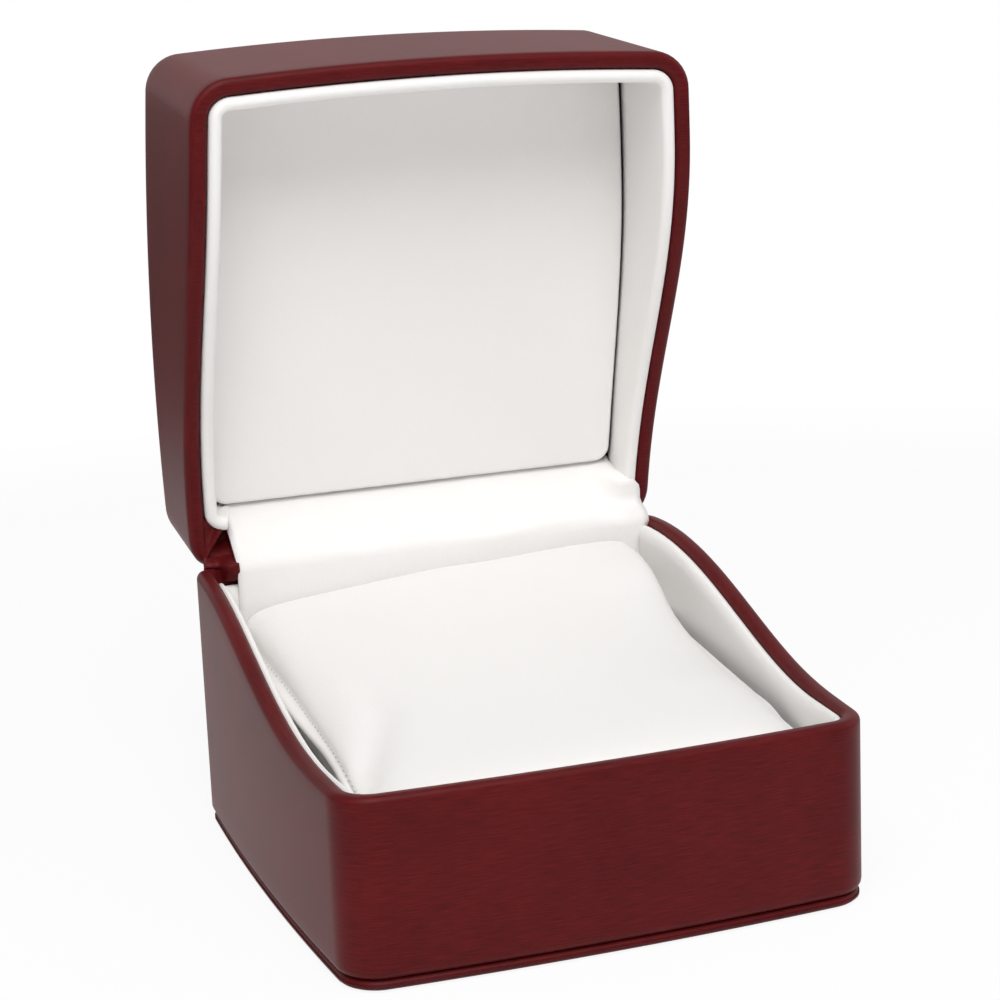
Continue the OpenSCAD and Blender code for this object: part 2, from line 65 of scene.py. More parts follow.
# Sizes are in millimetres unless a comment says otherwise. A value named RAMP holds a start and a run.
MM = 0.001
LID_HINGE = next(j for j in frame["joints"] if j["name"] == "lid_hinge")
HINGE = Vector(LID_HINGE["pos_m"]) / MM
OPEN_ANGLE = -LID_HINGE["range_deg"][0]


def solid_box(node):
    """Lowest and highest corner of a solid"""
    return [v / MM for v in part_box(node)]


PLATE_LOW, PLATE_HIGH = solid_box("bottom_wrap")


def length(name, description, default):
    """A size in millimetres, which is how Blender shows the camera's unit"""
    return FloatProperty(name=name, description=description, default=default, unit="CAMERA")


def colour(name, description, default):
    return StringProperty(name=name, description=description, default=default)


class BoxSizes(bpy.types.PropertyGroup):
    """Sizes of the box in millimetres"""

    width: length("Width", "Width across the corners", 100.0)
    depth: length("Depth", "Depth across the corners", 102.6)
    height: length("Height", "Height of the lid's upper edge, lid closed", 80.0)
    corner: length("Corner radius", "Radius of the upright corners", 8.0)
    side_bow: length("Side bow", "Bulge of the left and right sides", 1.2)
    front_bow: length("Front bow", "Bulge of the front", 1.4)
    rim_front: length("Front rim", "Height of the parting line at the front", 35.7)
    rim_back: length("Back rim", "Height of the parting line at the back", 52.3)
    climb_front: length("Climb start", "Where the parting line starts to climb", 17.0)
    climb_back: length("Climb end", "Where the parting line is level again", 9.0)
    rim_gap: length("Rim gap", "Gap between a rim and the parting line", 0.7)
    lining_gap: length("Lining gap", "Gap between the lid's lining and the parting line", 0.15)
    base_lining_gap: length("Base lining gap", "Gap of the base's lining there", 1.5)
    wrap: length("Leatherette", "Thickness of the leatherette", 0.8)
    wall: length("Wall", "Thickness of a wall with its leatherette", 3.4)
    lining: length("Lining", "Thickness of a lining with its card", 1.9)
    draft: length("Lid draft", "How far the lid's upper edge stands in", 0.5)
    lid_edge: length("Lid edge", "Radius of the lid's upper edge, rounder than its solid's", 4.5)
    crown: length("Lid crown", "Height of the crown on the lid", 2.6)
    lid_room: length("Lid lining room", "Room between the lid's rim and lining", 0.8)
    pad_face: length("Pad height", "Height of the pad's face, lid closed", 60.1)
    pad_thick: length("Pad thickness", "Thickness of the padded panel", 3.2)
    flap_half: length("Flap", "Half width of the white flap", 42.0)
    fold_gap: length("Fold gap", "Half the gap behind the hinge, lid open", 1.1)


class BoxFinish(bpy.types.PropertyGroup):
    """Colours of the finishes, as sRGB hex"""

    leatherette: colour("Leatherette", "Burgundy leatherette", "#611215")
    streak: colour("Streak", "Darker brushed streaks", "#490A0D")
    white: colour("White leatherette", "Lining, pad, flap and pillow", "#EFEDEB")
    # The thread's grey is partly its own tone and partly painted shade of the seam groove it lies in
    thread: colour("Thread", "Sewing thread", "#D9D5D0")
    steel: colour("Steel", "Plated hinge steel", "#A9ABAE")
    board: colour("Greyboard", "Card and board", "#B3A58D")
    shell: colour("Shell", "Moulded shells", "#3A3536")
    foam: colour("Foam", "Foam and filling", "#DED8C8")


class BoxSettings(bpy.types.PropertyGroup):
    """Everything a user would change"""

    sizes: PointerProperty(name="Sizes", description="Sizes of the box", type=BoxSizes)
    finish: PointerProperty(name="Finish", description="Colours of the finishes", type=BoxFinish)


def settings():
    return bpy.context.scene.pillow_box


# Outlines of the box

CORNER_STEPS = 10
SIDE_STEPS = 30
FLAP_DIP = 2.6
DIP_LEFT = 11.3
DIP_RIGHT = 7.0
DIP_RUN = 3.0


def smooth(t):
    """Runs gently from 0 to 1 while t goes from 0 to 1"""
    t = min(max(t, 0), 1)
    return t * t * (3 - 2 * t)


def ramp(value, start, run):
    """Runs gently from 0 to 1 while a value leaves a start, over a run that may be negative"""
    return smooth((value - start) / run)


def bell(value, middle, half):
    """Falls from 1 at the middle to almost nothing at twice the half width"""
    return math.exp(-((value - middle) / half) ** 2)


def bowed_ring(half_x, front, back, corner, corner_steps, side_steps):
    """Points of a rounded outline with their outward directions, from the right back corner on.
    Its front, left and right bow out as the box does."""
    z = settings().sizes
    in_x, low, high = half_x - corner, front + corner, back - corner
    found = []

    def arc(cx, cy, first):
        for i in range(corner_steps + 1):
            a = math.radians(first + 90 * i / corner_steps)
            n = Vector((math.cos(a), math.sin(a)))
            found.append((Vector((cx, cy)) + n * corner, n))

    def side(start, end, direction, bulge):
        n = Vector(direction)
        for i in range(1, side_steps):
            t = i / side_steps
            p = Vector(start).lerp(Vector(end), t)
            found.append((p + n * bulge * (1 - (2 * t - 1) ** 2), n))

    arc(in_x, high, 0)
    side((in_x, back), (-in_x, back), (0, 1), 0)
    arc(-in_x, high, 90)
    side((-half_x, high), (-half_x, low), (-1, 0), z.side_bow)
    arc(-in_x, low, 180)
    side((-in_x, front), (in_x, front), (0, -1), z.front_bow)
    arc(in_x, low, 270)
    side((half_x, low), (half_x, high), (1, 0), z.side_bow)
    return found


def outline():
    """The outer outline of the box"""
    z = settings().sizes
    return bowed_ring(z.width / 2, -z.depth / 2, z.depth / 2, z.corner, CORNER_STEPS, SIDE_STEPS)


def lay_row(ring, inset, height):
    """A row of points in from an outline, each at the height that its place has"""
    places = [p - inset * n for p, n in ring]
    return [(q.x, q.y, height(q)) for q in places]


def quarter(inset, height, radius, first, last, steps=5):
    """Points of an arc as (inset, height) pairs, angles in degrees from the inset direction"""
    angles = [math.radians(first + (last - first) * i / steps) for i in range(steps + 1)]
    return [(inset + radius * math.cos(a), height + radius * math.sin(a)) for a in angles]


def parting(y):
    """Height of the parting line at depth y"""
    z = settings().sizes
    y0, y1 = -z.depth / 2 + z.climb_front, z.depth / 2 - z.climb_back
    t = min(max((y - y0) / (y1 - y0), 0), 1)
    return z.rim_front + (z.rim_back - z.rim_front) * (1 - math.cos(math.pi * t)) / 2


def bevel_rise(y):
    """How far the bevel behind the hinge axis stands off the axis height at depth y"""
    half = math.radians(OPEN_ANGLE / 2)
    return (y - HINGE.y) * math.tan(half) + settings().sizes.fold_gap / math.cos(half)


def base_top(y, gap):
    """Height of the base's edge at depth y, a gap under the parting line"""
    return min(parting(y) - gap, HINGE.z - bevel_rise(y))


def lid_bottom(y, gap):
    """Height of the closed lid's edge at depth y, a gap over the parting line"""
    return max(parting(y) + gap, HINGE.z + bevel_rise(y))


def flap_dip(q):
    """How far the lining's edge drops along the back, where the flap and the hinge need the room"""
    start = settings().sizes.depth / 2 - (DIP_LEFT if q.x < 0 else DIP_RIGHT)
    return FLAP_DIP * ramp(q.y, start, DIP_RUN)


# Modelling helpers

LEVEL_FACE = 0.9  # share of a face's direction that points up or down
MERGE = 1e-6  # metres


def name_piece(obj, name):
    obj.name = name
    obj.data.name = name
    return obj


def select_only(obj):
    bpy.ops.object.select_all(action="DESELECT")
    obj.select_set(True)
    bpy.context.view_layer.objects.active = obj


def net(name, rows, close_around=True, uv_row=0, closed=False):
    """Adds a grid and lays its rows on lists of points; a ring has its seam merged.
    Its face side has the rows run to the left and the next row above. A closed one is turned outwards.
    Its UV map holds distances in millimetres: u along the rows, v across them."""
    rows = [[Vector(p) for p in r] for r in rows]
    if close_around:
        rows = [r + [r[0]] for r in rows]
    across, along = len(rows[0]), len(rows)
    bpy.ops.object.select_all(action="DESELECT")
    bpy.ops.mesh.primitive_grid_add(x_subdivisions=across - 1, y_subdivisions=along - 1, size=1)
    obj = name_piece(bpy.context.object, name)
    mesh = obj.data
    for v, p in zip(mesh.vertices, (p for r in rows for p in r)):
        v.co = p * MM
    u = [0.0]
    for a, b in zip(rows[uv_row], rows[uv_row][1:]):
        u.append(u[-1] + (b - a).length)
    heights = [[0.0] * across]
    for lower, upper in zip(rows, rows[1:]):
        heights.append([h + (b - a).length for h, a, b in zip(heights[-1], lower, upper)])
    uv = mesh.uv_layers.active.data
    for loop in mesh.loops:
        j, i = divmod(loop.vertex_index, across)
        uv[loop.index].uv = (u[i], heights[j][i])
    tidy_mesh(obj, closed)
    return obj


def lay_level(obj):
    """Takes the UV of the level faces straight from above, so that their streaks run from side to side"""
    mesh = obj.data
    uv = mesh.uv_layers.active.data
    for face in mesh.polygons:
        if abs(face.normal.z) > LEVEL_FACE:
            for i in face.loop_indices:
                uv[i].uv = mesh.vertices[mesh.loops[i].vertex_index].co.xy / MM


def tidy_mesh(obj, closed):
    """Merges doubles, turns a closed shell outwards and smooths the shading"""
    select_only(obj)
    bpy.ops.object.mode_set(mode="EDIT")
    bpy.ops.mesh.select_all(action="SELECT")
    bpy.ops.mesh.remove_doubles(threshold=MERGE)
    if closed:
        bpy.ops.mesh.normals_make_consistent(inside=False)
    bpy.ops.object.mode_set(mode="OBJECT")
    bpy.ops.object.shade_smooth()


def apply_modifier(obj, kind, **values):
    """Adds a modifier with its settings, applies it and smooths the shading"""
    select_only(obj)
    m = obj.modifiers.new(kind.title(), kind)
    for key, value in values.items():
        setattr(m, key, value)
    bpy.ops.object.modifier_apply(modifier=m.name)
    bpy.ops.object.shade_smooth()


def thicken(obj, thickness):
    """Gives a skin its thickness on its inner side"""
    apply_modifier(obj, "SOLIDIFY", thickness=thickness * MM, offset=-1)


def swing_open(obj):
    """Turns a piece of the closed lid open about the hinge axis"""
    axis = HINGE * MM
    turn = Matrix.Rotation(math.radians(-OPEN_ANGLE), 4, "X")
    obj.data.transform(Matrix.Translation(axis) @ turn @ Matrix.Translation(-axis))
    obj.data.update()


def dress(obj, slot, body, *nodes):
    """Sets a piece's material, slot and body, and hides the solids it stands for"""
    obj.data.materials.clear()
    obj.data.materials.append(material(slot))
    if body:
        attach(obj, body)
    if nodes:
        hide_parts(*nodes)


# Materials

def linear(hex_colour):
    """sRGB hex to the linear colour that a socket takes"""
    parts = [int(hex_colour[i:i + 2], 16) / 255 for i in (1, 3, 5)]
    return tuple(c / 12.92 if c <= 0.04045 else ((c + 0.055) / 1.055) ** 2.4 for c in parts) + (1.0,)


def plug(tree, node, inputs):
    """Links or sets a node's inputs, each given by its name or its number"""
    for name, value in inputs.items():
        if isinstance(value, bpy.types.NodeSocket):
            tree.links.new(value, node.inputs[name])
        else:
            node.inputs[name].default_value = value


def add_node(tree, kind, inputs=None, **values):
    """Adds a node, sets its properties, and links or sets its inputs"""
    node = tree.nodes.new(kind)
    for key, value in values.items():
        setattr(node, key, value)
    plug(tree, node, inputs or {})
    return node


def new_material(name):
    """A new material with its node tree and its principled shader"""
    m = bpy.data.materials.new(name)
    m.use_nodes = True
    tree = m.node_tree
    return m, tree, next(n for n in tree.nodes if n.type == "BSDF_PRINCIPLED")


# A mix of colours has its two colours in these inputs, and the result in this output
MIX_A, MIX_B, MIXED = 6, 7, 2

STREAK_LENGTH = 5.0
STREAK_WIDTH = 0.2  # about a pixel of the photograph, so that the streaks show
STREAK_CONTRAST = 0.17
MOTTLE = 16.0
MOTTLE_SHARE = 0.35
GRAIN_WIDTH = 0.35
EMBOSS_DEEP = 0.06


def brushed_leatherette():
    """Burgundy PU leatherette, embossed with fine brushed streaks that run round the box.
    The eye gets a satin sheen that greys towards grazing light, and streaks of a darker red."""
    finish = settings().finish
    m, tree, shader = new_material("brushed_burgundy_leatherette")
    place = add_node(tree, "ShaderNodeUVMap").outputs["UV"]
    patterns = []
    for long, wide, detail in ((STREAK_LENGTH, STREAK_WIDTH, {"Detail": 3.0, "Roughness": 0.6}),
                               (MOTTLE, MOTTLE, {"Detail": 2.0}),
                               (GRAIN_WIDTH, GRAIN_WIDTH, {"Detail": 2.0})):
        size = add_node(tree, "ShaderNodeMapping", {"Vector": place, "Scale": (1 / long, 1 / wide, 1)})
        pattern = add_node(tree, "ShaderNodeTexNoise",
                           {"Vector": size.outputs["Vector"], "Scale": 1.0, **detail})
        patterns.append(pattern.outputs["Fac"])
    brushed, mottled, grain = patterns
    both = add_node(tree, "ShaderNodeMath", {0: mottled, 1: MOTTLE_SHARE, 2: brushed},
                    operation="MULTIPLY_ADD")
    middle = 0.5 + 0.5 * MOTTLE_SHARE
    level = add_node(tree, "ShaderNodeMapRange",
                     {"Value": both.outputs["Value"], "From Min": middle - STREAK_CONTRAST,
                      "From Max": middle + STREAK_CONTRAST})
    red = add_node(tree, "ShaderNodeMix",
                   {"Factor": level.outputs["Result"], MIX_A: linear(finish.streak),
                    MIX_B: linear(finish.leatherette)}, data_type="RGBA")
    rough = add_node(tree, "ShaderNodeMapRange", {"Value": brushed, "To Min": 0.36, "To Max": 0.5})
    relief = add_node(tree, "ShaderNodeMath", {0: brushed, 1: grain}, operation="ADD")
    bump = add_node(tree, "ShaderNodeBump", {"Height": relief.outputs["Value"], "Strength": 0.25,
                                             "Distance": EMBOSS_DEEP * MM})
    plug(tree, shader, {"Base Color": red.outputs[MIXED], "Roughness": rough.outputs["Result"],
                        "Normal": bump.outputs["Normal"], "Specular IOR Level": 0.13,
                        "Sheen Weight": 0.04, "Sheen Roughness": 0.35,
                        "Sheen Tint": linear("#E8C9C6")})
    return m


PEBBLE = 0.55
PEBBLE_DEEP = 0.05


def white_leatherette():
    """Soft white PU leatherette. The eye gets a fine pebble grain and a low satin gloss."""
    m, tree, shader = new_material("pebbled_white_leatherette")
    place = add_node(tree, "ShaderNodeTexCoord").outputs["Object"]
    size = add_node(tree, "ShaderNodeMapping", {"Vector": place, "Scale": (1 / (PEBBLE * MM),) * 3})
    size = size.outputs["Vector"]
    pebbles = add_node(tree, "ShaderNodeTexVoronoi", {"Vector": size, "Scale": 1.0})
    soft = add_node(tree, "ShaderNodeTexNoise", {"Vector": size, "Scale": 0.5, "Detail": 3.0})
    relief = add_node(tree, "ShaderNodeMath", {0: pebbles.outputs["Distance"], 1: soft.outputs["Fac"]},
                      operation="ADD")
    bump = add_node(tree, "ShaderNodeBump", {"Height": relief.outputs["Value"], "Strength": 0.35,
                                             "Distance": PEBBLE_DEEP * MM})
    tone = add_node(tree, "ShaderNodeMapRange", {"Value": soft.outputs["Fac"], "To Min": 0.97, "To Max": 1.0})
    shade = add_node(tree, "ShaderNodeMix",
                     {"Factor": tone.outputs["Result"], MIX_A: linear("#D8D5D2"),
                      MIX_B: linear(settings().finish.white)}, data_type="RGBA")
    plug(tree, shader, {"Base Color": shade.outputs[MIXED], "Normal": bump.outputs["Normal"],
                        "Roughness": 0.5, "Specular IOR Level": 0.35})
    return m


GRIT_SHADE = 0.8
GRIT_DEEP = 0.1


def plain_finish(name, hex_colour, roughness, grain, metallic=0.0):
    """A finish for pieces inside the box. The eye gets one colour, broken up by a grain of a given size."""
    m, tree, shader = new_material(name)
    place = add_node(tree, "ShaderNodeTexCoord").outputs["Object"]
    size = add_node(tree, "ShaderNodeMapping", {"Vector": place, "Scale": (1 / (grain * MM),) * 3})
    grit = add_node(tree, "ShaderNodeTexNoise",
                    {"Vector": size.outputs["Vector"], "Scale": 1.0, "Detail": 3.0}).outputs["Fac"]
    light = linear(hex_colour)
    dark = tuple(GRIT_SHADE * c for c in light[:3]) + (1.0,)
    tone = add_node(tree, "ShaderNodeMix", {"Factor": grit, MIX_A: dark, MIX_B: light}, data_type="RGBA")
    bump = add_node(tree, "ShaderNodeBump",
                    {"Height": grit, "Strength": 0.3, "Distance": GRIT_DEEP * grain * MM})
    plug(tree, shader, {"Base Color": tone.outputs[MIXED], "Normal": bump.outputs["Normal"],
                        "Roughness": roughness, "Metallic": metallic})
    return m


MATERIALS = {}


def material(slot):
    """Each finish is made once, when it is first asked for"""
    finish = settings().finish
    makers = {
        "burgundy_leatherette": brushed_leatherette,
        "white_leatherette": white_leatherette,
        # Dull thread, whose twist shows as a fine mottle; its grey is partly painted shade of the seam groove
        "white_thread": lambda: plain_finish("twisted_polyester_thread_with_painted_seam_shade", finish.thread, 0.6, 0.2),
        # Bright metal with a soft mirror
        "hinge_steel": lambda: plain_finish("plated_spring_steel", finish.steel, 0.32, 0.3, metallic=1.0),
        # Matt, with the flecks of pressed pulp
        "greyboard": lambda: plain_finish("pressed_greyboard", finish.board, 0.9, 0.8),
        # Dark plastic, half matt from the mould
        "moulded_shell": lambda: plain_finish("moulded_black_abs", finish.shell, 0.55, 0.5),
        # Matt and open, with visible cells
        "foam": lambda: plain_finish("open_cell_foam", finish.foam, 0.95, 0.7),
    }
    if slot not in MATERIALS:
        MATERIALS[slot] = makers[slot]()
    return MATERIALS[slot]


# Stage

CAMERA_PLACE = (-156.9, -441.4, 179.3)
CAMERA_TURN = (76.91, 2.28, -19.96)  # degrees
CAMERA_LENS = 92.56
CAMERA_SENSOR = 36
CAMERA_CLIP = 10
WORLD_LIGHT = 0.29
SKY_GLOSS = 0.78
FLOOR_SIZE = 12000
FLOOR_DROP = 0.1
FLOOR_GLOW = 0.9
FLOOR_GLOSS_FAR = 0.1
FLOOR_NEAR = 345
FLOOR_FAR = 460
LAMP_AIM = Vector((0, 20, 60))
# Name, place, width of the disk, watts
LAMPS = (
    ("overhead_softbox", (-200, -650, 1000), 900, 10.8),
    ("front_softbox", (-700, -1000, 500), 900, 0.8),
    ("side_softbox", (1000, -300, 600), 800, 1.5),
)


class BOX_OT_stage(bpy.types.Operator):
    """Adds the pale floor, the soft studio light and the camera"""

    bl_idname = "pillow_box.stage"
    bl_label = "Stage"

    def execute(self, context):
        self.add_floor(context)
        self.add_world(context)
        for lamp in LAMPS:
            self.add_lamp(context, *lamp)
        self.add_camera(context)
        context.scene.view_settings.view_transform = "Standard"
        return {"FINISHED"}

    def add_floor(self, context):
        """A white floor that keeps the box's shadow and fades into the background away from it"""
        bpy.ops.object.select_all(action="DESELECT")
        bpy.ops.mesh.primitive_plane_add(size=FLOOR_SIZE * MM,
                                         location=(0, 0, (PLATE_LOW.z - FLOOR_DROP) * MM))
        floor = name_piece(context.object, "studio_floor")
        m, tree, shader = new_material("white_studio_floor")
        plug(tree, shader, {"Base Color": linear("#FFFFFF"), "Roughness": 0.9, "Specular IOR Level": 0.1})
        path = add_node(tree, "ShaderNodeLightPath").outputs
        place = add_node(tree, "ShaderNodeNewGeometry").outputs["Position"]
        away = add_node(tree, "ShaderNodeVectorMath", {0: place}, operation="LENGTH").outputs["Value"]
        gloss = add_node(tree, "ShaderNodeMath", {
            0: path["Is Glossy Ray"], 1: self.fade(tree, away, 1.0, FLOOR_GLOSS_FAR)}, operation="MULTIPLY")
        straight = add_node(tree, "ShaderNodeMath", {
            0: path["Is Camera Ray"], 1: path["Is Transmission Ray"]}, operation="MAXIMUM")
        level = add_node(tree, "ShaderNodeMath", {
            0: straight.outputs[0], 1: gloss.outputs[0]}, operation="MAXIMUM")
        glow = add_node(tree, "ShaderNodeEmission", {"Strength": level.outputs[0]})
        share = add_node(tree, "ShaderNodeMath", {
            0: self.seen_rays(tree), 1: self.fade(tree, away, FLOOR_GLOW, 1.0)}, operation="MULTIPLY")
        self.show_mix(tree, "OUTPUT_MATERIAL", share.outputs[0], shader, glow)
        floor.data.materials.append(m)

    def fade(self, tree, away, near, far):
        """Runs from a value near the box to a value away from it"""
        run = add_node(tree, "ShaderNodeMapRange", {
            "Value": away, "From Min": FLOOR_NEAR * MM, "From Max": FLOOR_FAR * MM,
            "To Min": near, "To Max": far})
        return run.outputs["Result"]

    def seen_rays(self, tree):
        """1 for what the camera sees, straight or in gloss and glass, 0 for light that falls on the box"""
        path = add_node(tree, "ShaderNodeLightPath").outputs
        both = add_node(tree, "ShaderNodeMath", {
            0: path["Is Camera Ray"], 1: path["Is Glossy Ray"]}, operation="MAXIMUM")
        clear = add_node(tree, "ShaderNodeMath", {
            0: both.outputs[0], 1: path["Is Transmission Ray"]}, operation="MAXIMUM")
        return clear.outputs[0]

    def show_mix(self, tree, output, share, first, second):
        """Mixes two shaders by a share and shows the result"""
        mixed = add_node(tree, "ShaderNodeMixShader", {0: share, 1: first.outputs[0], 2: second.outputs[0]})
        out = next(n for n in tree.nodes if n.type == output)
        plug(tree, out, {"Surface": mixed.outputs[0]})

    def add_world(self, context):
        """A dim world for the light, which the camera sees as white"""
        world = bpy.data.worlds.new("white_studio")
        world.use_nodes = True
        tree = world.node_tree
        light = next(n for n in tree.nodes if n.type == "BACKGROUND")
        plug(tree, light, {"Color": linear("#FFFFFF"), "Strength": WORLD_LIGHT})
        path = add_node(tree, "ShaderNodeLightPath").outputs
        level = add_node(tree, "ShaderNodeMapRange", {
            "Value": path["Is Glossy Ray"], "To Min": 1.0, "To Max": SKY_GLOSS})
        white = add_node(tree, "ShaderNodeBackground", {
            "Strength": level.outputs["Result"], "Color": linear("#FFFFFF")})
        self.show_mix(tree, "OUTPUT_WORLD", self.seen_rays(tree), light, white)
        context.scene.world = world

    def add_lamp(self, context, name, place, size, power):
        place = Vector(place)
        bpy.ops.object.light_add(type="AREA", location=place * MM)
        lamp = context.object
        lamp.name = name
        lamp.data.shape = "DISK"
        lamp.data.size = size * MM
        lamp.data.energy = power
        lamp.rotation_euler = (LAMP_AIM - place).to_track_quat("-Z", "Y").to_euler()

    def add_camera(self, context):
        bpy.ops.object.camera_add(location=[c * MM for c in CAMERA_PLACE])
        camera = context.object
        camera.name = "photo_camera"
        camera.rotation_euler = [math.radians(a) for a in CAMERA_TURN]
        camera.data.sensor_width = CAMERA_SENSOR
        camera.data.lens = CAMERA_LENS
        camera.data.clip_start = CAMERA_CLIP * MM
        context.scene.camera = camera


# Burgundy pieces

TURN_IN = 9.0
RIM_ROUND = 1.35
RIM_SWELL = 0.45
SWELL_RAMP = (-45.0, 20.0)
FOOT_ROUND = 1.7
FOOT_MARGIN = 1.0
BASE_WALL_ROWS = 14


class BOX_OT_base_wrap(bpy.types.Operator):
    """Leatherette on the base: out from under the floor, up the walls, over the rim and down inside"""

    bl_idname = "pillow_box.base_wrap"
    bl_label = "Base wrap"

    def execute(self, context):
        z = settings().sizes
        ring = outline()
        foot = PLATE_HIGH.z
        low = foot + FOOT_ROUND

        def top(q):
            return base_top(q.y, z.rim_gap - RIM_SWELL * ramp(q.y, *SWELL_RAMP))

        under = [(TURN_IN, 0), (FOOT_ROUND + FOOT_MARGIN, 0)]
        under += quarter(FOOT_ROUND, FOOT_ROUND, FOOT_ROUND, 270, 180)
        rim = quarter(RIM_ROUND, -RIM_ROUND, RIM_ROUND, 180, 90)
        rim += quarter(z.wall - RIM_ROUND, -RIM_ROUND, RIM_ROUND, 90, 0)
        rim += [(z.wall, -TURN_IN / 2), (z.wall, -TURN_IN)]
        rows = [lay_row(ring, inset, lambda q: foot + rise) for inset, rise in under]
        for i in range(1, BASE_WALL_ROWS):
            t = i / BASE_WALL_ROWS
            rows.append(lay_row(ring, 0, lambda q: low + t * (top(q) - RIM_ROUND - low)))
        rows += [lay_row(ring, inset, lambda q: top(q) + rise) for inset, rise in rim]
        wrap = net("base_wrap_leatherette", rows, uv_row=10)
        thicken(wrap, z.wrap)
        dress(wrap, "burgundy_leatherette", "base", "base_wrap")
        return {"FINISHED"}


PLATE_ROUND = 1.35
PLATE_SHARES = (0, 0.5, 0.9)


class BOX_OT_bottom_plate(bpy.types.Operator):
    """Leatherette-covered bottom plate with a rounded edge"""

    bl_idname = "pillow_box.bottom_plate"
    bl_label = "Bottom plate"

    def execute(self, context):
        ring = outline()
        edge = settings().sizes.depth / 2 - PLATE_HIGH.y + PLATE_ROUND
        low, top = PLATE_LOW.z, PLATE_HIGH.z

        def face(height):
            """Rings across a level face, from its middle out"""
            brim = lay_row(ring, edge, lambda q: height)
            return [[(x * share, y * share, h) for x, y, h in brim] for share in PLATE_SHARES]

        side = quarter(edge, low + PLATE_ROUND, PLATE_ROUND, 270, 180)
        side += quarter(edge, top - PLATE_ROUND, PLATE_ROUND, 180, 90)
        rows = face(low) + [lay_row(ring, inset, lambda q: h) for inset, h in side] + face(top)[::-1]
        plate = net("bottom_plate_leatherette", rows, uv_row=6, closed=True)
        lay_level(plate)
        dress(plate, "burgundy_leatherette", "base", "bottom_wrap")
        return {"FINISHED"}


LID_FRONT_LEAN = 0.7
LID_WALL_ROWS = 16
SHELL_WALL_ROWS = 12
CROWN_SHARES = (0.97, 0.92, 0.85, 0.75, 0.6, 0.45, 0.3, 0.15, 0)


def lid_row(inset, height):
    """A ring of points on the closed lid, a distance in from its drafted walls"""
    z = settings().sizes
    shoulder = z.height - z.lid_edge
    points = []
    for p, n in outline():
        h = height(p - inset * n)
        share = min(max((h - z.rim_front) / (shoulder - z.rim_front), 0), 1)
        d = inset + share * (z.draft + LID_FRONT_LEAN * max(-n.y, 0))
        points.append((p.x - d * n.x, p.y - d * n.y, h))
    return points


def lid_walls(inset, low, count):
    """Rings from a distance over the lid's rim up to its shoulder"""
    z = settings().sizes
    shoulder = z.height - z.lid_edge

    def height(q, t):
        foot = lid_bottom(q.y, z.rim_gap) + low
        return foot + t * (shoulder - foot)

    return [lid_row(inset, lambda q: height(q, i / count)) for i in range(count)]


def lid_top(inset):
    """Rings over the lid's rounded edge to the middle of its crown, a distance under the surface.
    The rings of the crown grow rounder towards the middle."""
    z = settings().sizes
    shoulder = z.height - z.lid_edge
    rows = [lid_row(d, lambda q: shoulder + rise)
            for d, rise in quarter(z.lid_edge, 0, z.lid_edge - inset, 180, 90)]
    brim = rows[-1]
    half_x, half_y = max(x for x, y, h in brim), max(y for x, y, h in brim)
    for share in CROWN_SHARES:
        ring = []
        for x, y, h in brim:
            k = share * (share + (1 - share) / math.hypot(x / half_x, y / half_y))
            ring.append((x * k, y * k, h + z.crown * (1 - share ** 2)))
        rows.append(ring)
    return rows


class BOX_OT_lid_wrap(bpy.types.Operator):
    """Leatherette on the lid: from inside the rim, over it, up the drafted walls and across the crown"""

    bl_idname = "pillow_box.lid_wrap"
    bl_label = "Lid wrap"

    def execute(self, context):
        z = settings().sizes
        rim = [(z.wall, TURN_IN), (z.wall, TURN_IN / 2)]
        rim += quarter(z.wall - RIM_ROUND, RIM_ROUND, RIM_ROUND, 0, -90)
        rim += quarter(RIM_ROUND, RIM_ROUND, RIM_ROUND, 270, 180)
        rows = [lid_row(inset, lambda q: lid_bottom(q.y, z.rim_gap) + rise) for inset, rise in rim]
        rows += lid_walls(0, RIM_ROUND, LID_WALL_ROWS)[1:] + lid_top(0)
        wrap = net("lid_wrap_leatherette", rows, uv_row=16)
        lay_level(wrap)
        thicken(wrap, z.wrap)
        swing_open(wrap)
        dress(wrap, "burgundy_leatherette", "lid", "lid_wrap")
        return {"FINISHED"}


class BOX_OT_lid_shell(bpy.types.Operator):
    """Moulded shell under the lid's leatherette"""

    bl_idname = "pillow_box.lid_shell"
    bl_label = "Lid shell"

    def execute(self, context):
        z = settings().sizes
        shell = net("lid_shell_moulded", lid_walls(z.wrap, z.wrap, SHELL_WALL_ROWS) + lid_top(z.wrap))
        thicken(shell, z.wall - 2 * z.wrap)
        swing_open(shell)
        dress(shell, "moulded_shell", "lid", "lid_shell")
        return {"FINISHED"}


# White linings

LINING_BEHIND = 5.0
BASE_BEAD = 0.75
BASE_ROLL = 3.2
ROLL_STEPS = 8
BASE_LINING_SHARES = (0.95, 0.85, 0.7, 0.5, 0.25, 0)


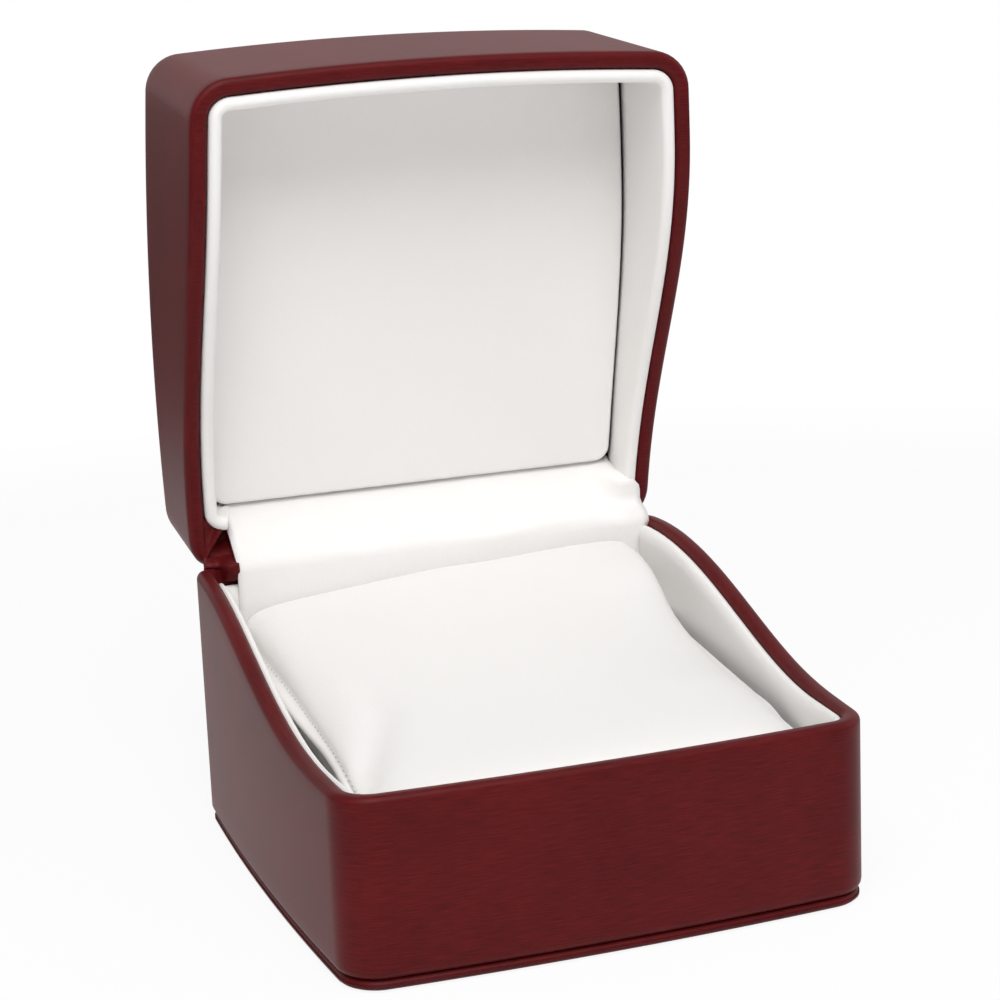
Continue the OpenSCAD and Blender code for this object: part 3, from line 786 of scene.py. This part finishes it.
class BOX_OT_base_lining(bpy.types.Operator):
    """White lining of the base: up from the floor and over the card's edge in a bead beside the rim"""

    bl_idname = "pillow_box.base_lining"
    bl_label = "Base lining"

    def execute(self, context):
        z = settings().sizes
        ring = outline()
        floor = solid_box("base_lining")[0].z
        inner = z.wall + z.lining

        def row(inset, rise):
            return lay_row(ring, inset, lambda q: base_top(q.y, z.base_lining_gap) - flap_dip(q) + rise)

        bead = quarter(z.wall + BASE_BEAD, -BASE_BEAD, BASE_BEAD, 180, 90)
        rows = [row(*place) for place in [(z.wall, -LINING_BEHIND)] + bead]
        for i in range(1, ROLL_STEPS + 1):
            a = math.pi / 2 * i / ROLL_STEPS
            inset = inner - (z.lining - BASE_BEAD) * (1 - math.sin(a))
            rows.append(row(inset, -BASE_ROLL * (1 - math.cos(a))))
        brim = row(inner, -BASE_ROLL)
        for share in BASE_LINING_SHARES:
            rows.append([(x, y, floor + share * (h - floor)) for x, y, h in brim])
        lining = net("base_lining_white", rows)
        thicken(lining, z.wrap)
        dress(lining, "white_leatherette", "base", "base_lining", "base_liner_card")
        return {"FINISHED"}


LINING_LEAN = 1.5
LEAN_RAMP = (30.0, -50.0)
LID_BEAD = 1.25
LID_BEAD_STEPS = 10
LID_LINING_SHARES = (1, 0.8, 0.6, 0.4, 0.2, 0.08)
LINING_TOP_ROOM = 0.3
STAND_IN = 5.8
STAND_IN_RAMP = (10.0, -20.0)
NOTCH_RISE = 10.0
NOTCH_ROOM = 0.2
NOTCH_LEFT_RUN = 1.8
NOTCH_RIGHT_RAMP = (12.0, 6.0)


def lining_lean(p, n):
    """How far the lid's lining leans out behind its edge on the right, most of all away from the hinge"""
    return LINING_LEAN * ramp(p.y, *LEAN_RAMP) * max(n.x, 0)


class BOX_OT_lid_lining(bpy.types.Operator):
    """White lining of the lid: from behind the pad down the walls and round the card's edge in a bead"""

    bl_idname = "pillow_box.lid_lining"
    bl_label = "Lid lining"

    def execute(self, context):
        z = settings().sizes
        ring = [(self.stand_in(p), n) for p, n in outline()]
        inner = z.wall + z.lid_room + z.lining
        outer = inner - 2 * LID_BEAD
        top = z.pad_face + z.pad_thick - LINING_TOP_ROOM

        def wall(share):
            points = []
            for p, n in ring:
                q = p - inner * n
                low = self.bottom(q) + LID_BEAD
                q += n * share * lining_lean(p, n)
                points.append((q.x, q.y, low + share * (top - low)))
            return points

        bead = quarter(outer + LID_BEAD, LID_BEAD, LID_BEAD, 0, -180, LID_BEAD_STEPS)
        rows = [wall(share) for share in LID_LINING_SHARES]
        rows += [lay_row(ring, inset, lambda q: min(self.bottom(q) + rise, top))
                 for inset, rise in bead + [(outer, LINING_BEHIND)]]
        lining = net("lid_lining_white", rows)
        thicken(lining, z.wrap)
        swing_open(lining)
        dress(lining, "white_leatherette", "lid", "lid_lining", "lid_liner_card")
        return {"FINISHED"}

    def stand_in(self, p):
        """Brings the back of the outline in on the left"""
        depth = settings().sizes.depth
        share = 1 - STAND_IN / depth * ramp(p.x, *STAND_IN_RAMP)
        return Vector((p.x, (p.y + depth / 2) * share - depth / 2))

    def bottom(self, q):
        """Height of the lining's edge, which rises behind the flap"""
        z = settings().sizes
        edge = parting(q.y) + z.lining_gap
        if q.y <= 0:
            return edge
        left = ramp(q.x, -z.flap_half - NOTCH_ROOM, NOTCH_LEFT_RUN)
        return edge + NOTCH_RISE * left * (1 - ramp(q.x, *NOTCH_RIGHT_RAMP))


# The padded panel in the lid

PAD_ROOM = 0.4
PAD_SHORT = 9.6
PAD_CORNER = 3.4
PAD_CORNER_STEPS = 8
PAD_SIDE_STEPS = 24
PAD_LEAN_SHARE = 0.9
PAD_ROUND = 1.0
PAD_ROUND_STEPS = 6
PAD_BACK_IN = 0.6
PAD_BACK_EDGE = 0.5
PAD_CROWN = 0.5
PAD_SHARES = (0.96, 0.9, 0.82, 0.72, 0.6, 0.48, 0.36, 0.24, 0.12, 0)
PAD_RIPPLE = 0.12
PAD_RIPPLE_SIZE = 14


class BOX_OT_lid_pad(bpy.types.Operator):
    """Padded white panel inside the lid, rolled round its edges"""

    bl_idname = "pillow_box.lid_pad"
    bl_label = "Lid pad"

    def execute(self, context):
        z = settings().sizes
        ring = self.pad_outline()
        middle = sum(p.y for p, n in ring) / len(ring)
        board = z.pad_face + z.pad_thick
        side = [(PAD_BACK_IN, board), (0, board - PAD_BACK_EDGE)]
        side += quarter(PAD_ROUND, z.pad_face + PAD_ROUND, PAD_ROUND, 180, 270, PAD_ROUND_STEPS)
        rows = [lay_row(ring, inset, lambda q: h) for inset, h in side]
        edge = rows[-1]
        for share in PAD_SHARES:
            drop = PAD_CROWN * (1 - share ** 4)
            points = []
            for x, y, h in edge:
                ripple = noise.noise(Vector((x * share, y * share, 0)) / PAD_RIPPLE_SIZE)
                points.append((x * share, middle + (y - middle) * share, h - drop + PAD_RIPPLE * ripple))
            rows.append(points)
        pad = net("lid_pad_cover_white", rows, uv_row=1, closed=True)
        swing_open(pad)
        dress(pad, "white_leatherette", "lid", "lid_pad_cover")
        return {"FINISHED"}

    def pad_outline(self):
        """Outline of the pad, lid closed: bowed like the box and cut short at the hinge"""
        z = settings().sizes
        inset = z.wall + z.lid_room + z.lining + PAD_ROOM
        ring = bowed_ring(z.width / 2 - inset, inset - z.depth / 2, HINGE.y - PAD_SHORT,
                          PAD_CORNER, PAD_CORNER_STEPS, PAD_SIDE_STEPS)
        return [(p + n * PAD_LEAN_SHARE * lining_lean(p, n), n) for p, n in ring]


# The white flap over the hinge

FLAP_THICK = 0.8
FLAP_BEND = 4.0
FLAP_SLOPE = 39.0  # degrees
FLAP_CLEAR = 2.5
FLAP_LEFT = -41.3
FLAP_RIGHT = 44.8
FLAP_TUCK = 0.9
FLAP_STEPS = (14, 8, 10)  # up behind the pillow, round the bend, up to the pad
FLAP_COLUMNS = 60
FLAP_FLARE = 2.2
FLARE_RAMP = (-4.5, 4.0)
FLAP_GATHER = 3.2
GATHER_RAMP = (5.6, 4.2)
FLAP_FRONT = 0.9
FRONT_RAMP = (7.6, 2.2)
FLAP_MARGIN_RAMP = (37.5, 5.5)
FLAP_CURL = 2.0
CURL_RAMP = (1.0, 3.0)
FLAP_WAVE = 0.25
FLAP_WAVE_LONG = 18
FLAP_WAVE_ROWS = 7
FLAP_WAVE_SEED = 3


class BOX_OT_hinge_flap(bpy.types.Operator):
    """White flap from behind the pillow, over the hinge and up to the pad"""

    bl_idname = "pillow_box.hinge_flap"
    bl_label = "Hinge flap"

    def execute(self, context):
        low, high = solid_box("hinge_flap")
        slope = math.radians(FLAP_SLOPE)
        turn = math.pi / 2 - slope
        y = low.y
        knee = HINGE.z + (FLAP_CLEAR + (y - HINGE.y) * math.sin(slope)) / math.cos(slope)
        bend_z = knee - FLAP_BEND * math.tan(turn / 2)
        upright, bend, slant = FLAP_STEPS
        path = [(y, low.z + (bend_z - low.z) * i / upright) for i in range(upright)]
        for i in range(bend + 1):
            a = turn * i / bend
            path.append((y + FLAP_BEND * (1 - math.cos(a)), bend_z + FLAP_BEND * math.sin(a)))
        end_y, end_z = path[-1]
        reach = (high.z + FLAP_TUCK - end_z) / math.sin(slope)
        for i in range(1, slant + 1):
            run = reach * i / slant
            path.append((end_y + run * math.cos(slope), end_z + run * math.sin(slope)))
        rows = [self.flap_row(j, *place) for j, place in enumerate(path)]
        flap = net("hinge_flap_white", rows, close_around=False)
        thicken(flap, FLAP_THICK)
        dress(flap, "white_leatherette", None, "hinge_flap")
        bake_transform(flap)
        along = sum((Vector(b) - Vector(a)).length for a, b in zip(path, path[1:]))
        return {"FINISHED"}

    def flap_row(self, j, y, z):
        """One row across the flap: waved, flared over the hinge, and curled to the front on the right"""
        rise = z - HINGE.z
        flare = FLAP_FLARE * ramp(rise, *FLARE_RAMP) - FLAP_GATHER * ramp(rise, *GATHER_RAMP)
        stand_off = max(y - HINGE.y + FLAP_FRONT, 0) * (1 - ramp(rise, *FRONT_RAMP))
        points = []
        for i in range(FLAP_COLUMNS + 1):
            x = FLAP_LEFT + (FLAP_RIGHT + flare - FLAP_LEFT) * i / FLAP_COLUMNS
            place = Vector((x / FLAP_WAVE_LONG, j / FLAP_WAVE_ROWS, FLAP_WAVE_SEED))
            wave = FLAP_WAVE * noise.noise(place)
            curl = max(stand_off, FLAP_CURL * (1 - ramp(rise, *CURL_RAMP)))
            points.append((x, y - max(wave, 0) - curl * ramp(x, *FLAP_MARGIN_RAMP), z + wave))
        return points


# Pieces at the hinge, shaped for the open lid

STRIP_MARGIN = 4.8
STRIP_DRAW_IN = 0.42
STRIP_STEPS = 40
STRIP_TURN_STEPS = 8


class BOX_OT_hinge_strip(bpy.types.Operator):
    """Burgundy strip folded into the bevelled gap behind the hinge"""

    bl_idname = "pillow_box.hinge_strip"
    bl_label = "Hinge strip"

    def execute(self, context):
        z = settings().sizes
        low, high = solid_box("hinge_strip")
        half = math.radians(OPEN_ANGLE / 2)
        out, up = Vector((math.cos(half), -math.sin(half))), Vector((math.sin(half), math.cos(half)))
        leg = z.fold_gap - z.lining_gap
        near = (low.y - HINGE.y + leg * math.sin(half)) / math.cos(half)
        far = (z.depth / 2 - HINGE.y) / math.cos(half) - z.lining_gap
        slot = leg - z.wrap
        turns = [math.radians(-90 + 180 * i / STRIP_TURN_STEPS) for i in range(STRIP_TURN_STEPS + 1)]
        outer = [(near + leg * (1 - math.cos(a)), leg * math.sin(a)) for a in turns]
        inner = [(near + z.wrap + slot * (1 - math.cos(a)), slot * math.sin(a)) for a in turns]
        loop = [(far, -leg)] + outer + [(far, leg), (far, slot)] + inner[::-1] + [(far, -slot)]
        places = [s * out + t * up for s, t in loop]
        axis = HINGE.yz
        middle = axis + sum(places, Vector((0, 0))) / len(places)
        first, last = low.x - STRIP_MARGIN, high.x + STRIP_MARGIN
        rows = []
        for i in range(STRIP_STEPS + 1):
            x = first + (last - first) * i / STRIP_STEPS
            draw_in = 1 - STRIP_DRAW_IN * ramp(abs(x), high.x, STRIP_MARGIN)
            rows.append([(x, *(axis + p * draw_in)) for p in places])
        rows = [[(first, *middle)] * len(places)] + rows + [[(last, *middle)] * len(places)]
        strip = net("hinge_strip_leatherette", rows, uv_row=20, closed=True)
        dress(strip, "burgundy_leatherette", None, "hinge_strip")
        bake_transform(strip)
        return {"FINISHED"}


SPRING_THICK = 0.3
SPRING_STEPS = 12


class BOX_OT_hinge_spring(bpy.types.Operator):
    """Flat steel spring that lies on both leaves, bent round the axis to the lid's open angle"""

    bl_idname = "pillow_box.hinge_spring"
    bl_label = "Hinge spring"

    def execute(self, context):
        low, high = solid_box("hinge_spring")
        half = SPRING_THICK / 2
        centre = low.y - HINGE.y + half
        reach = HINGE.z - low.z

        def edge(y, h, share):
            """A place in the section, turned by a share of the opening"""
            a = math.radians(OPEN_ANGLE) * share
            return (HINGE.y + y * math.cos(a) + h * math.sin(a),
                    HINGE.z + h * math.cos(a) - y * math.sin(a))

        def ring(off, h, share):
            front, back = edge(centre - off, h, share), edge(centre + off, h, share)
            return [(low.x, *front), (high.x, *front), (high.x, *back), (low.x, *back)]

        path = [(-reach, 0), (-reach / 2, 0)]
        path += [(0, i / SPRING_STEPS) for i in range(SPRING_STEPS + 1)]
        path += [(reach / 2, 1), (reach, 1)]
        rows = [ring(0, *path[0])] + [ring(half, *place) for place in path] + [ring(0, *path[-1])]
        spring = net("hinge_spring_steel", rows, closed=True)
        dress(spring, "hinge_steel", None, "hinge_spring")
        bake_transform(spring)
        return {"FINISHED"}


# Places on a gusset are given as (distance from the middle of the box, height over the hinge axis)
GUSSET_INNER = 40.9
GUSSET_OUTER = 47.5
GUSSET_LOW = -2.9
GUSSET_HIGH = 9.3
GUSSET_SLANT = 1.3
SLANT_RAMP = (42.0, 2.0)
GUSSET_COLUMNS = 34
GUSSET_LINES = 56
GUSSET_THICK = 0.5
GUSSET_BEHIND = 2.4
CRUMPLE = 0.3
CRUMPLE_SIZE = 1.6
CRUMPLE_SEED = 4
LID_STAND = 0.9
RIDGE_FOOT = Vector((46.5, 2.2))
RIDGE_HEAD = Vector((43.0, 7.7))
RIDGE_OUT = 1.1
RIDGE_HALF = 0.7
HOLLOW = 4.2
HOLLOW_RUN = 2.0
HOLLOW_RAMP = (1.4, 3.0)
BASE_STAND = 0.7
TAB_RAMP = (43.2, 1.6)
TAB_OUT = 3.1
TAB_RIGHT = 2.2
TAB_MIDDLE = Vector((42.1, -0.6))
TAB_HALF = Vector((1.3, 1.6))
TAB_ROUND = Vector((0.4, 0.5))
FOLD_OUT = 0.6
FOLD_RISE = -0.1
FOLD_HALF = 0.6
JOIN_RAMP = (0.5, 1.2)


class BOX_OT_gussets(bpy.types.Operator):
    """Crumpled leatherette at both ends of the hinge, from the base's rim to the lid's lining"""

    bl_idname = "pillow_box.gussets"
    bl_label = "Hinge gussets"

    def execute(self, context):
        for side, name in ((-1, "left"), (1, "right")):
            rows = []
            for j in range(GUSSET_LINES + 1):
                points = []
                for i in range(GUSSET_COLUMNS + 1):
                    w = GUSSET_INNER + (GUSSET_OUTER - GUSSET_INNER) * i / GUSSET_COLUMNS
                    high = GUSSET_HIGH - GUSSET_SLANT * (1 - ramp(w, *SLANT_RAMP))
                    rise = GUSSET_LOW + (high - GUSSET_LOW) * j / GUSSET_LINES
                    points.append((side * w, HINGE.y + self.depth(w, rise, side), HINGE.z + rise))
                rows.append(points if side > 0 else points[::-1])
            gusset = net("hinge_gusset_" + name, rows, close_around=False)
            thicken(gusset, GUSSET_THICK)
            dress(gusset, "burgundy_leatherette", None)
            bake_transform(gusset)
        return {"FINISHED"}

    def depth(self, w, rise, side):
        """Depth behind the axis: a tab and a fold on the base, then a ridge and a hollow in the lid"""
        place = Vector((w, rise))
        seed = Vector((w, HINGE.z + rise, 0)) / CRUMPLE_SIZE + Vector((0, 0, CRUMPLE_SEED * side))
        crumple = CRUMPLE * noise.noise(seed)
        along = (RIDGE_HEAD - RIDGE_FOOT).normalized()
        off = place - RIDGE_FOOT
        beside = along.x * off.y - along.y * off.x
        hollow = HOLLOW * ramp(beside, 0, HOLLOW_RUN) * ramp(rise, *HOLLOW_RAMP)
        in_lid = LID_STAND - RIDGE_OUT * bell(beside, 0, RIDGE_HALF) + hollow
        tab = 1 - ramp(w, *TAB_RAMP)
        fold = FOLD_OUT * bell(rise, FOLD_RISE, FOLD_HALF) * (1 - tab)
        from_tab = place - TAB_MIDDLE
        round_off = sum(r * (d / h) ** 2 for r, d, h in zip(TAB_ROUND, from_tab, TAB_HALF))
        in_base = -BASE_STAND - fold - tab * (TAB_OUT - round_off)
        if side > 0:
            in_base += TAB_RIGHT * tab
            slope = math.radians(FLAP_SLOPE)
            behind_flap = (rise * math.cos(slope) - FLAP_CLEAR) / math.sin(slope) + GUSSET_BEHIND
            in_lid = max(LID_STAND, behind_flap)
        return crumple + in_base + (in_lid - in_base) * ramp(rise, *JOIN_RAMP)


# Pillow

PILLOW_FRONT = -45.4
PILLOW_BACK = 44.7
PILLOW_MIDDLE = (PILLOW_BACK + PILLOW_FRONT) / 2
PILLOW_HALF = (PILLOW_BACK - PILLOW_FRONT) / 2
PILLOW_ROUND = 112
PILLOW_ROWS = 22
# Powers of the section round the pillow, and shares of its depth at the sewn ends
BOXY = 0.42
BOXY_BACK = 0.16
END_DEPTH = 0.94
PILLOW_BOW = 1.2
# The top's crest and the end seams
PILLOW_FRONT_TOP = 36.6
PILLOW_BACK_TOP = 49.1
CREST_RAMP = (-46.0, 88.0)
SEAM_HEIGHT = 33.5
SEAM_CLIMB = 0.11
SEAM_SAG = 2.2
SAG_RAMP = (-18.0, -26.0)
PILLOW_ENDS = 41.0
PILLOW_PULL = 1.4
PILLOW_LEFT = 1.3
PILLOW_CORNER = 1.3
CORNER_RAMP = (20.0, 20.0)
# How the stuffing fills the ends: powers of the distance from the middle
BACK_RAMP = (9.0, 16.0)
FRONT_FILL_RAMP = (-12.0, -16.0)
FILL, FILL_BACK, FILL_FRONT = 2.6, 28, 3
FILL_ROUND, FILL_ROUND_BACK = 0.5, 0.15
LEFT_SLACK, LEFT_SLACK_BACK = 0.35, 0.07
LEFT_FILL, LEFT_FILL_BACK = 9, 11
UNDER_FILL, UNDER_ROUND = 4, 0.6
PILLOW_SHOULDER = 1.5
SHOULDER_RAMP = (5.0, 30.0)
# Puckers beside the seams: height, turn per millimetre, and the powers between which they lie
PUCKER = 0.3
PUCKER_TURN = 1.15
PUCKER_STRAY = 2
PUCKER_SIZE = 9
PUCKER_INNER, PUCKER_OUTER = 12, 40
VALLEY_HEAD = Vector((-22.0, 4.0))
VALLEY_FOOT = Vector((-45.5, -46.0))
VALLEY_DEEP = 1.5
VALLEY_HALF = 3.2
VALLEY_START = 0.4
# The lips outside the seams: (share of their reach, share of their thickness) from the edge in
LIP_RINGS = ((1, 0.01), (1, 0.7), (0.6, 1))
LIP_LEFT = 2.0
LIP_RIGHT = 3.3
LIP_REACH = 44.3
LIP_HALF = 0.75
LIP_DROP = 0.3
LIP_SHORT = 0.5
SHORT_RAMP = (-3.0, -5.0)
LIP_RIPPLE = 0.35
LIP_RIPPLE_SIZE = 6
LIP_SEED = 7
LIP_PINCH = 0.9
PINCH_AT = -4.0
PINCH_HALF = 1.8
PINCH_IN = 0.4
PINCH_UP = 0.5


def pillow_seam(y):
    """Height of the end seams at depth y"""
    return SEAM_HEIGHT + SEAM_CLIMB * y - SEAM_SAG * ramp(y, *SAG_RAMP)


def pillow_crest(y):
    """Height of the pillow's top in its middle: full at the back, falling to the front lining"""
    return PILLOW_FRONT_TOP + (PILLOW_BACK_TOP - PILLOW_FRONT_TOP) * ramp(y, *CREST_RAMP)


def pillow_end(y, side):
    """How far out the stitch line lies at depth y: the ends pull in between the corners"""
    t = (y - PILLOW_MIDDLE) / PILLOW_HALF
    corner = PILLOW_CORNER * ramp(y, *CORNER_RAMP) if side > 0 else PILLOW_LEFT
    return PILLOW_ENDS + corner - PILLOW_PULL * (1 - t * t)


class BOX_OT_pillow(bpy.types.Operator):
    """Stuffed white pillow, high at the back, sewn shut along both ends"""

    bl_idname = "pillow_box.pillow"
    bl_label = "Pillow"

    def execute(self, context):
        low = solid_box("pillow_cover")[0].z
        body = [math.sin(math.pi / 2 * t / PILLOW_ROWS) for t in range(-PILLOW_ROWS, PILLOW_ROWS + 1)]
        rows = [self.lip_row(-1, LIP_LEFT * out, share) for out, share in LIP_RINGS]
        rows += [self.body_row(u, low) for u in body]
        rows += [self.lip_row(1, LIP_RIGHT * out, share) for out, share in LIP_RINGS[::-1]]
        pillow = net("pillow_cover_white", rows, uv_row=25, closed=True)
        apply_modifier(pillow, "SUBSURF", levels=1, render_levels=1)
        dress(pillow, "white_leatherette", "pillow", "pillow_cover", "pillow_filling")
        return {"FINISHED"}

    def section(self):
        """Points round the pillow as shares of its depth and height, boxy with soft corners"""
        found = []
        for k in range(PILLOW_ROUND):
            a = 2 * math.pi * k / PILLOW_ROUND
            c, h = math.cos(a), math.sin(a)
            boxy = BOXY - BOXY_BACK * smooth(c)
            found.append((math.copysign(abs(c) ** boxy, c), math.copysign(abs(h) ** boxy, h)))
        return found

    def depth(self, c, u, swell):
        """Depth of a point: the front bows out with the box, and the ends stand back at the corners"""
        y = PILLOW_MIDDLE + PILLOW_HALF * (END_DEPTH + (1 - END_DEPTH) * swell) * c
        return y - PILLOW_BOW * (1 - u * u) * smooth(-c)

    def lip_row(self, side, out, share):
        """One row of the flat lip outside a seam, rippled and pinched in one place"""
        points = []
        for c, h in self.section():
            y = self.depth(c, side, 0)
            ripple = LIP_RIPPLE * noise.noise(Vector((side * LIP_SEED, y / LIP_RIPPLE_SIZE, out)))
            pinch = LIP_PINCH * bell(y, PINCH_AT, PINCH_HALF)
            short = LIP_SHORT * ramp(y, *SHORT_RAMP) if side < 0 else 0
            reach = pillow_end(y, side) + out * (1 - PINCH_IN * pinch - short) + ripple
            rise = ripple + PINCH_UP * pinch - LIP_DROP * out
            points.append((side * min(reach, LIP_REACH), y, pillow_seam(y) + LIP_HALF * share * h + rise))
        return points

    def body_row(self, u, low):
        """One row round the stuffed body, at a share u of the way from the middle to a seam"""
        points = []
        side = 1 if u > 0 else -1
        edge = abs(u)
        under = (1 - edge ** UNDER_FILL) ** UNDER_ROUND
        for c, h in self.section():
            y = self.depth(c, u, under)
            x = u * pillow_end(y, side)
            seam = pillow_seam(y)
            if h >= 0:
                back = ramp(y, *BACK_RAMP)
                crest = pillow_crest(y) + PILLOW_SHOULDER * back * ramp(x, *SHOULDER_RAMP)
                full = self.fullness(u, y, back)
                reach = LIP_HALF * (1 - full) + (crest - seam) * full
            else:
                reach = LIP_HALF * (1 - under) + (seam - low) * under
            stray = PUCKER_STRAY * noise.noise(Vector((0, y / PUCKER_SIZE, side)))
            pucker = PUCKER * math.sin(y * PUCKER_TURN + stray)
            pucker *= edge ** PUCKER_INNER * (1 - edge ** PUCKER_OUTER)
            points.append((x, y, max(seam + reach * h + pucker - self.valley(x, y, h), low)))
        return points

    def fullness(self, u, y, back):
        """Share of the crest's height that the top has: square at the back, slack on the left"""
        edge = abs(u)
        if u < 0:
            slack = 1 - (LEFT_SLACK + LEFT_SLACK_BACK * back) * edge
            return slack * (1 - edge ** (LEFT_FILL + LEFT_FILL_BACK * back)) ** 0.5
        fill = FILL + FILL_BACK * back + FILL_FRONT * ramp(y, *FRONT_FILL_RAMP)
        return (1 - edge ** fill) ** (FILL_ROUND - FILL_ROUND_BACK * back)

    def valley(self, x, y, h):
        """Soft fold from the front left corner towards the middle of the top"""
        along = VALLEY_FOOT - VALLEY_HEAD
        off = Vector((x, y)) - VALLEY_HEAD
        t = off.dot(along) / along.length_squared
        aside = (off - t * along).length
        return VALLEY_DEEP * bell(aside, 0, VALLEY_HALF) * smooth(t / VALLEY_START) * smooth(h)


STITCH_PITCH = 1.7
STITCH_LENGTH = 2.0
STITCH_THICK = 0.55
STITCH_FLAT = 0.9
STITCH_MARGIN = 6.0
STITCH_IN = 0.6
STITCH_UP = 0.35
STITCH_ROLL = 25  # degrees
STITCH_SLANT = 68  # degrees


class BOX_OT_stitches(bpy.types.Operator):
    """Thread along both end seams of the pillow"""

    bl_idname = "pillow_box.stitches"
    bl_label = "Stitches"

    def execute(self, context):
        bpy.ops.object.select_all(action="DESELECT")
        made = []
        count = int((PILLOW_BACK - PILLOW_FRONT - 2 * STITCH_MARGIN) / STITCH_PITCH)
        for side in (-1, 1):
            for i in range(count):
                y = PILLOW_FRONT + STITCH_MARGIN + (i + 0.5) * STITCH_PITCH
                x = side * (pillow_end(y, side) - STITCH_IN)
                place = Vector((x, y, pillow_seam(y) + LIP_HALF + STITCH_UP))
                made.append(self.stitch(context, place, side))
        for one in made:
            one.select_set(True)
        context.view_layer.objects.active = made[0]
        bpy.ops.object.join()
        bpy.ops.object.transform_apply()
        thread = name_piece(context.object, "pillow_stitches")
        bpy.ops.object.shade_smooth()
        dress(thread, "white_thread", "pillow", "pillow_stitching")
        return {"FINISHED"}

    def stitch(self, context, place, side):
        bpy.ops.mesh.primitive_uv_sphere_add(segments=8, ring_count=6, radius=STITCH_THICK / 2 * MM)
        one = context.object
        one.scale = (1, STITCH_LENGTH / STITCH_THICK, STITCH_FLAT)
        one.rotation_euler = (0, math.radians(STITCH_ROLL * side), math.radians(STITCH_SLANT * side))
        one.location = place * MM
        return one


class BOX_OT_inner_pieces(bpy.types.Operator):
    """Finishes for the solids that stay as they are"""

    bl_idname = "pillow_box.inner_pieces"
    bl_label = "Inner pieces"

    def execute(self, context):
        for part in frame["record"]["subparts"]:
            node = frame["nodes"][part["node"]]
            if not node.hide_render:
                node.data.materials.clear()
                node.data.materials.append(material(part["material_slot"]))
        return {"FINISHED"}


class BOX_PT_panel(bpy.types.Panel):
    """Lists the steps that dress the box"""

    bl_idname = "BOX_PT_panel"
    bl_label = "Jewellery box"
    bl_space_type = "VIEW_3D"
    bl_region_type = "UI"
    bl_category = "Jewellery box"

    def draw(self, context):
        for step in STEPS:
            self.layout.operator(step.bl_idname)


STEPS = (
    BOX_OT_stage,
    BOX_OT_base_wrap,
    BOX_OT_bottom_plate,
    BOX_OT_lid_wrap,
    BOX_OT_lid_shell,
    BOX_OT_base_lining,
    BOX_OT_lid_lining,
    BOX_OT_lid_pad,
    BOX_OT_hinge_flap,
    BOX_OT_hinge_strip,
    BOX_OT_hinge_spring,
    BOX_OT_gussets,
    BOX_OT_pillow,
    BOX_OT_stitches,
    BOX_OT_inner_pieces,
)
CLASSES = (BoxSizes, BoxFinish, BoxSettings) + STEPS + (BOX_PT_panel,)


def register():
    for c in CLASSES:
        bpy.utils.register_class(c)
    bpy.types.Scene.pillow_box = PointerProperty(type=BoxSettings)


def unregister():
    del bpy.types.Scene.pillow_box
    for c in reversed(CLASSES):
        bpy.utils.unregister_class(c)


def main():
    register()
    for step in STEPS:
        group, name = step.bl_idname.split(".")
        getattr(getattr(bpy.ops, group), name)()


if __name__ == "__main__":
    main()
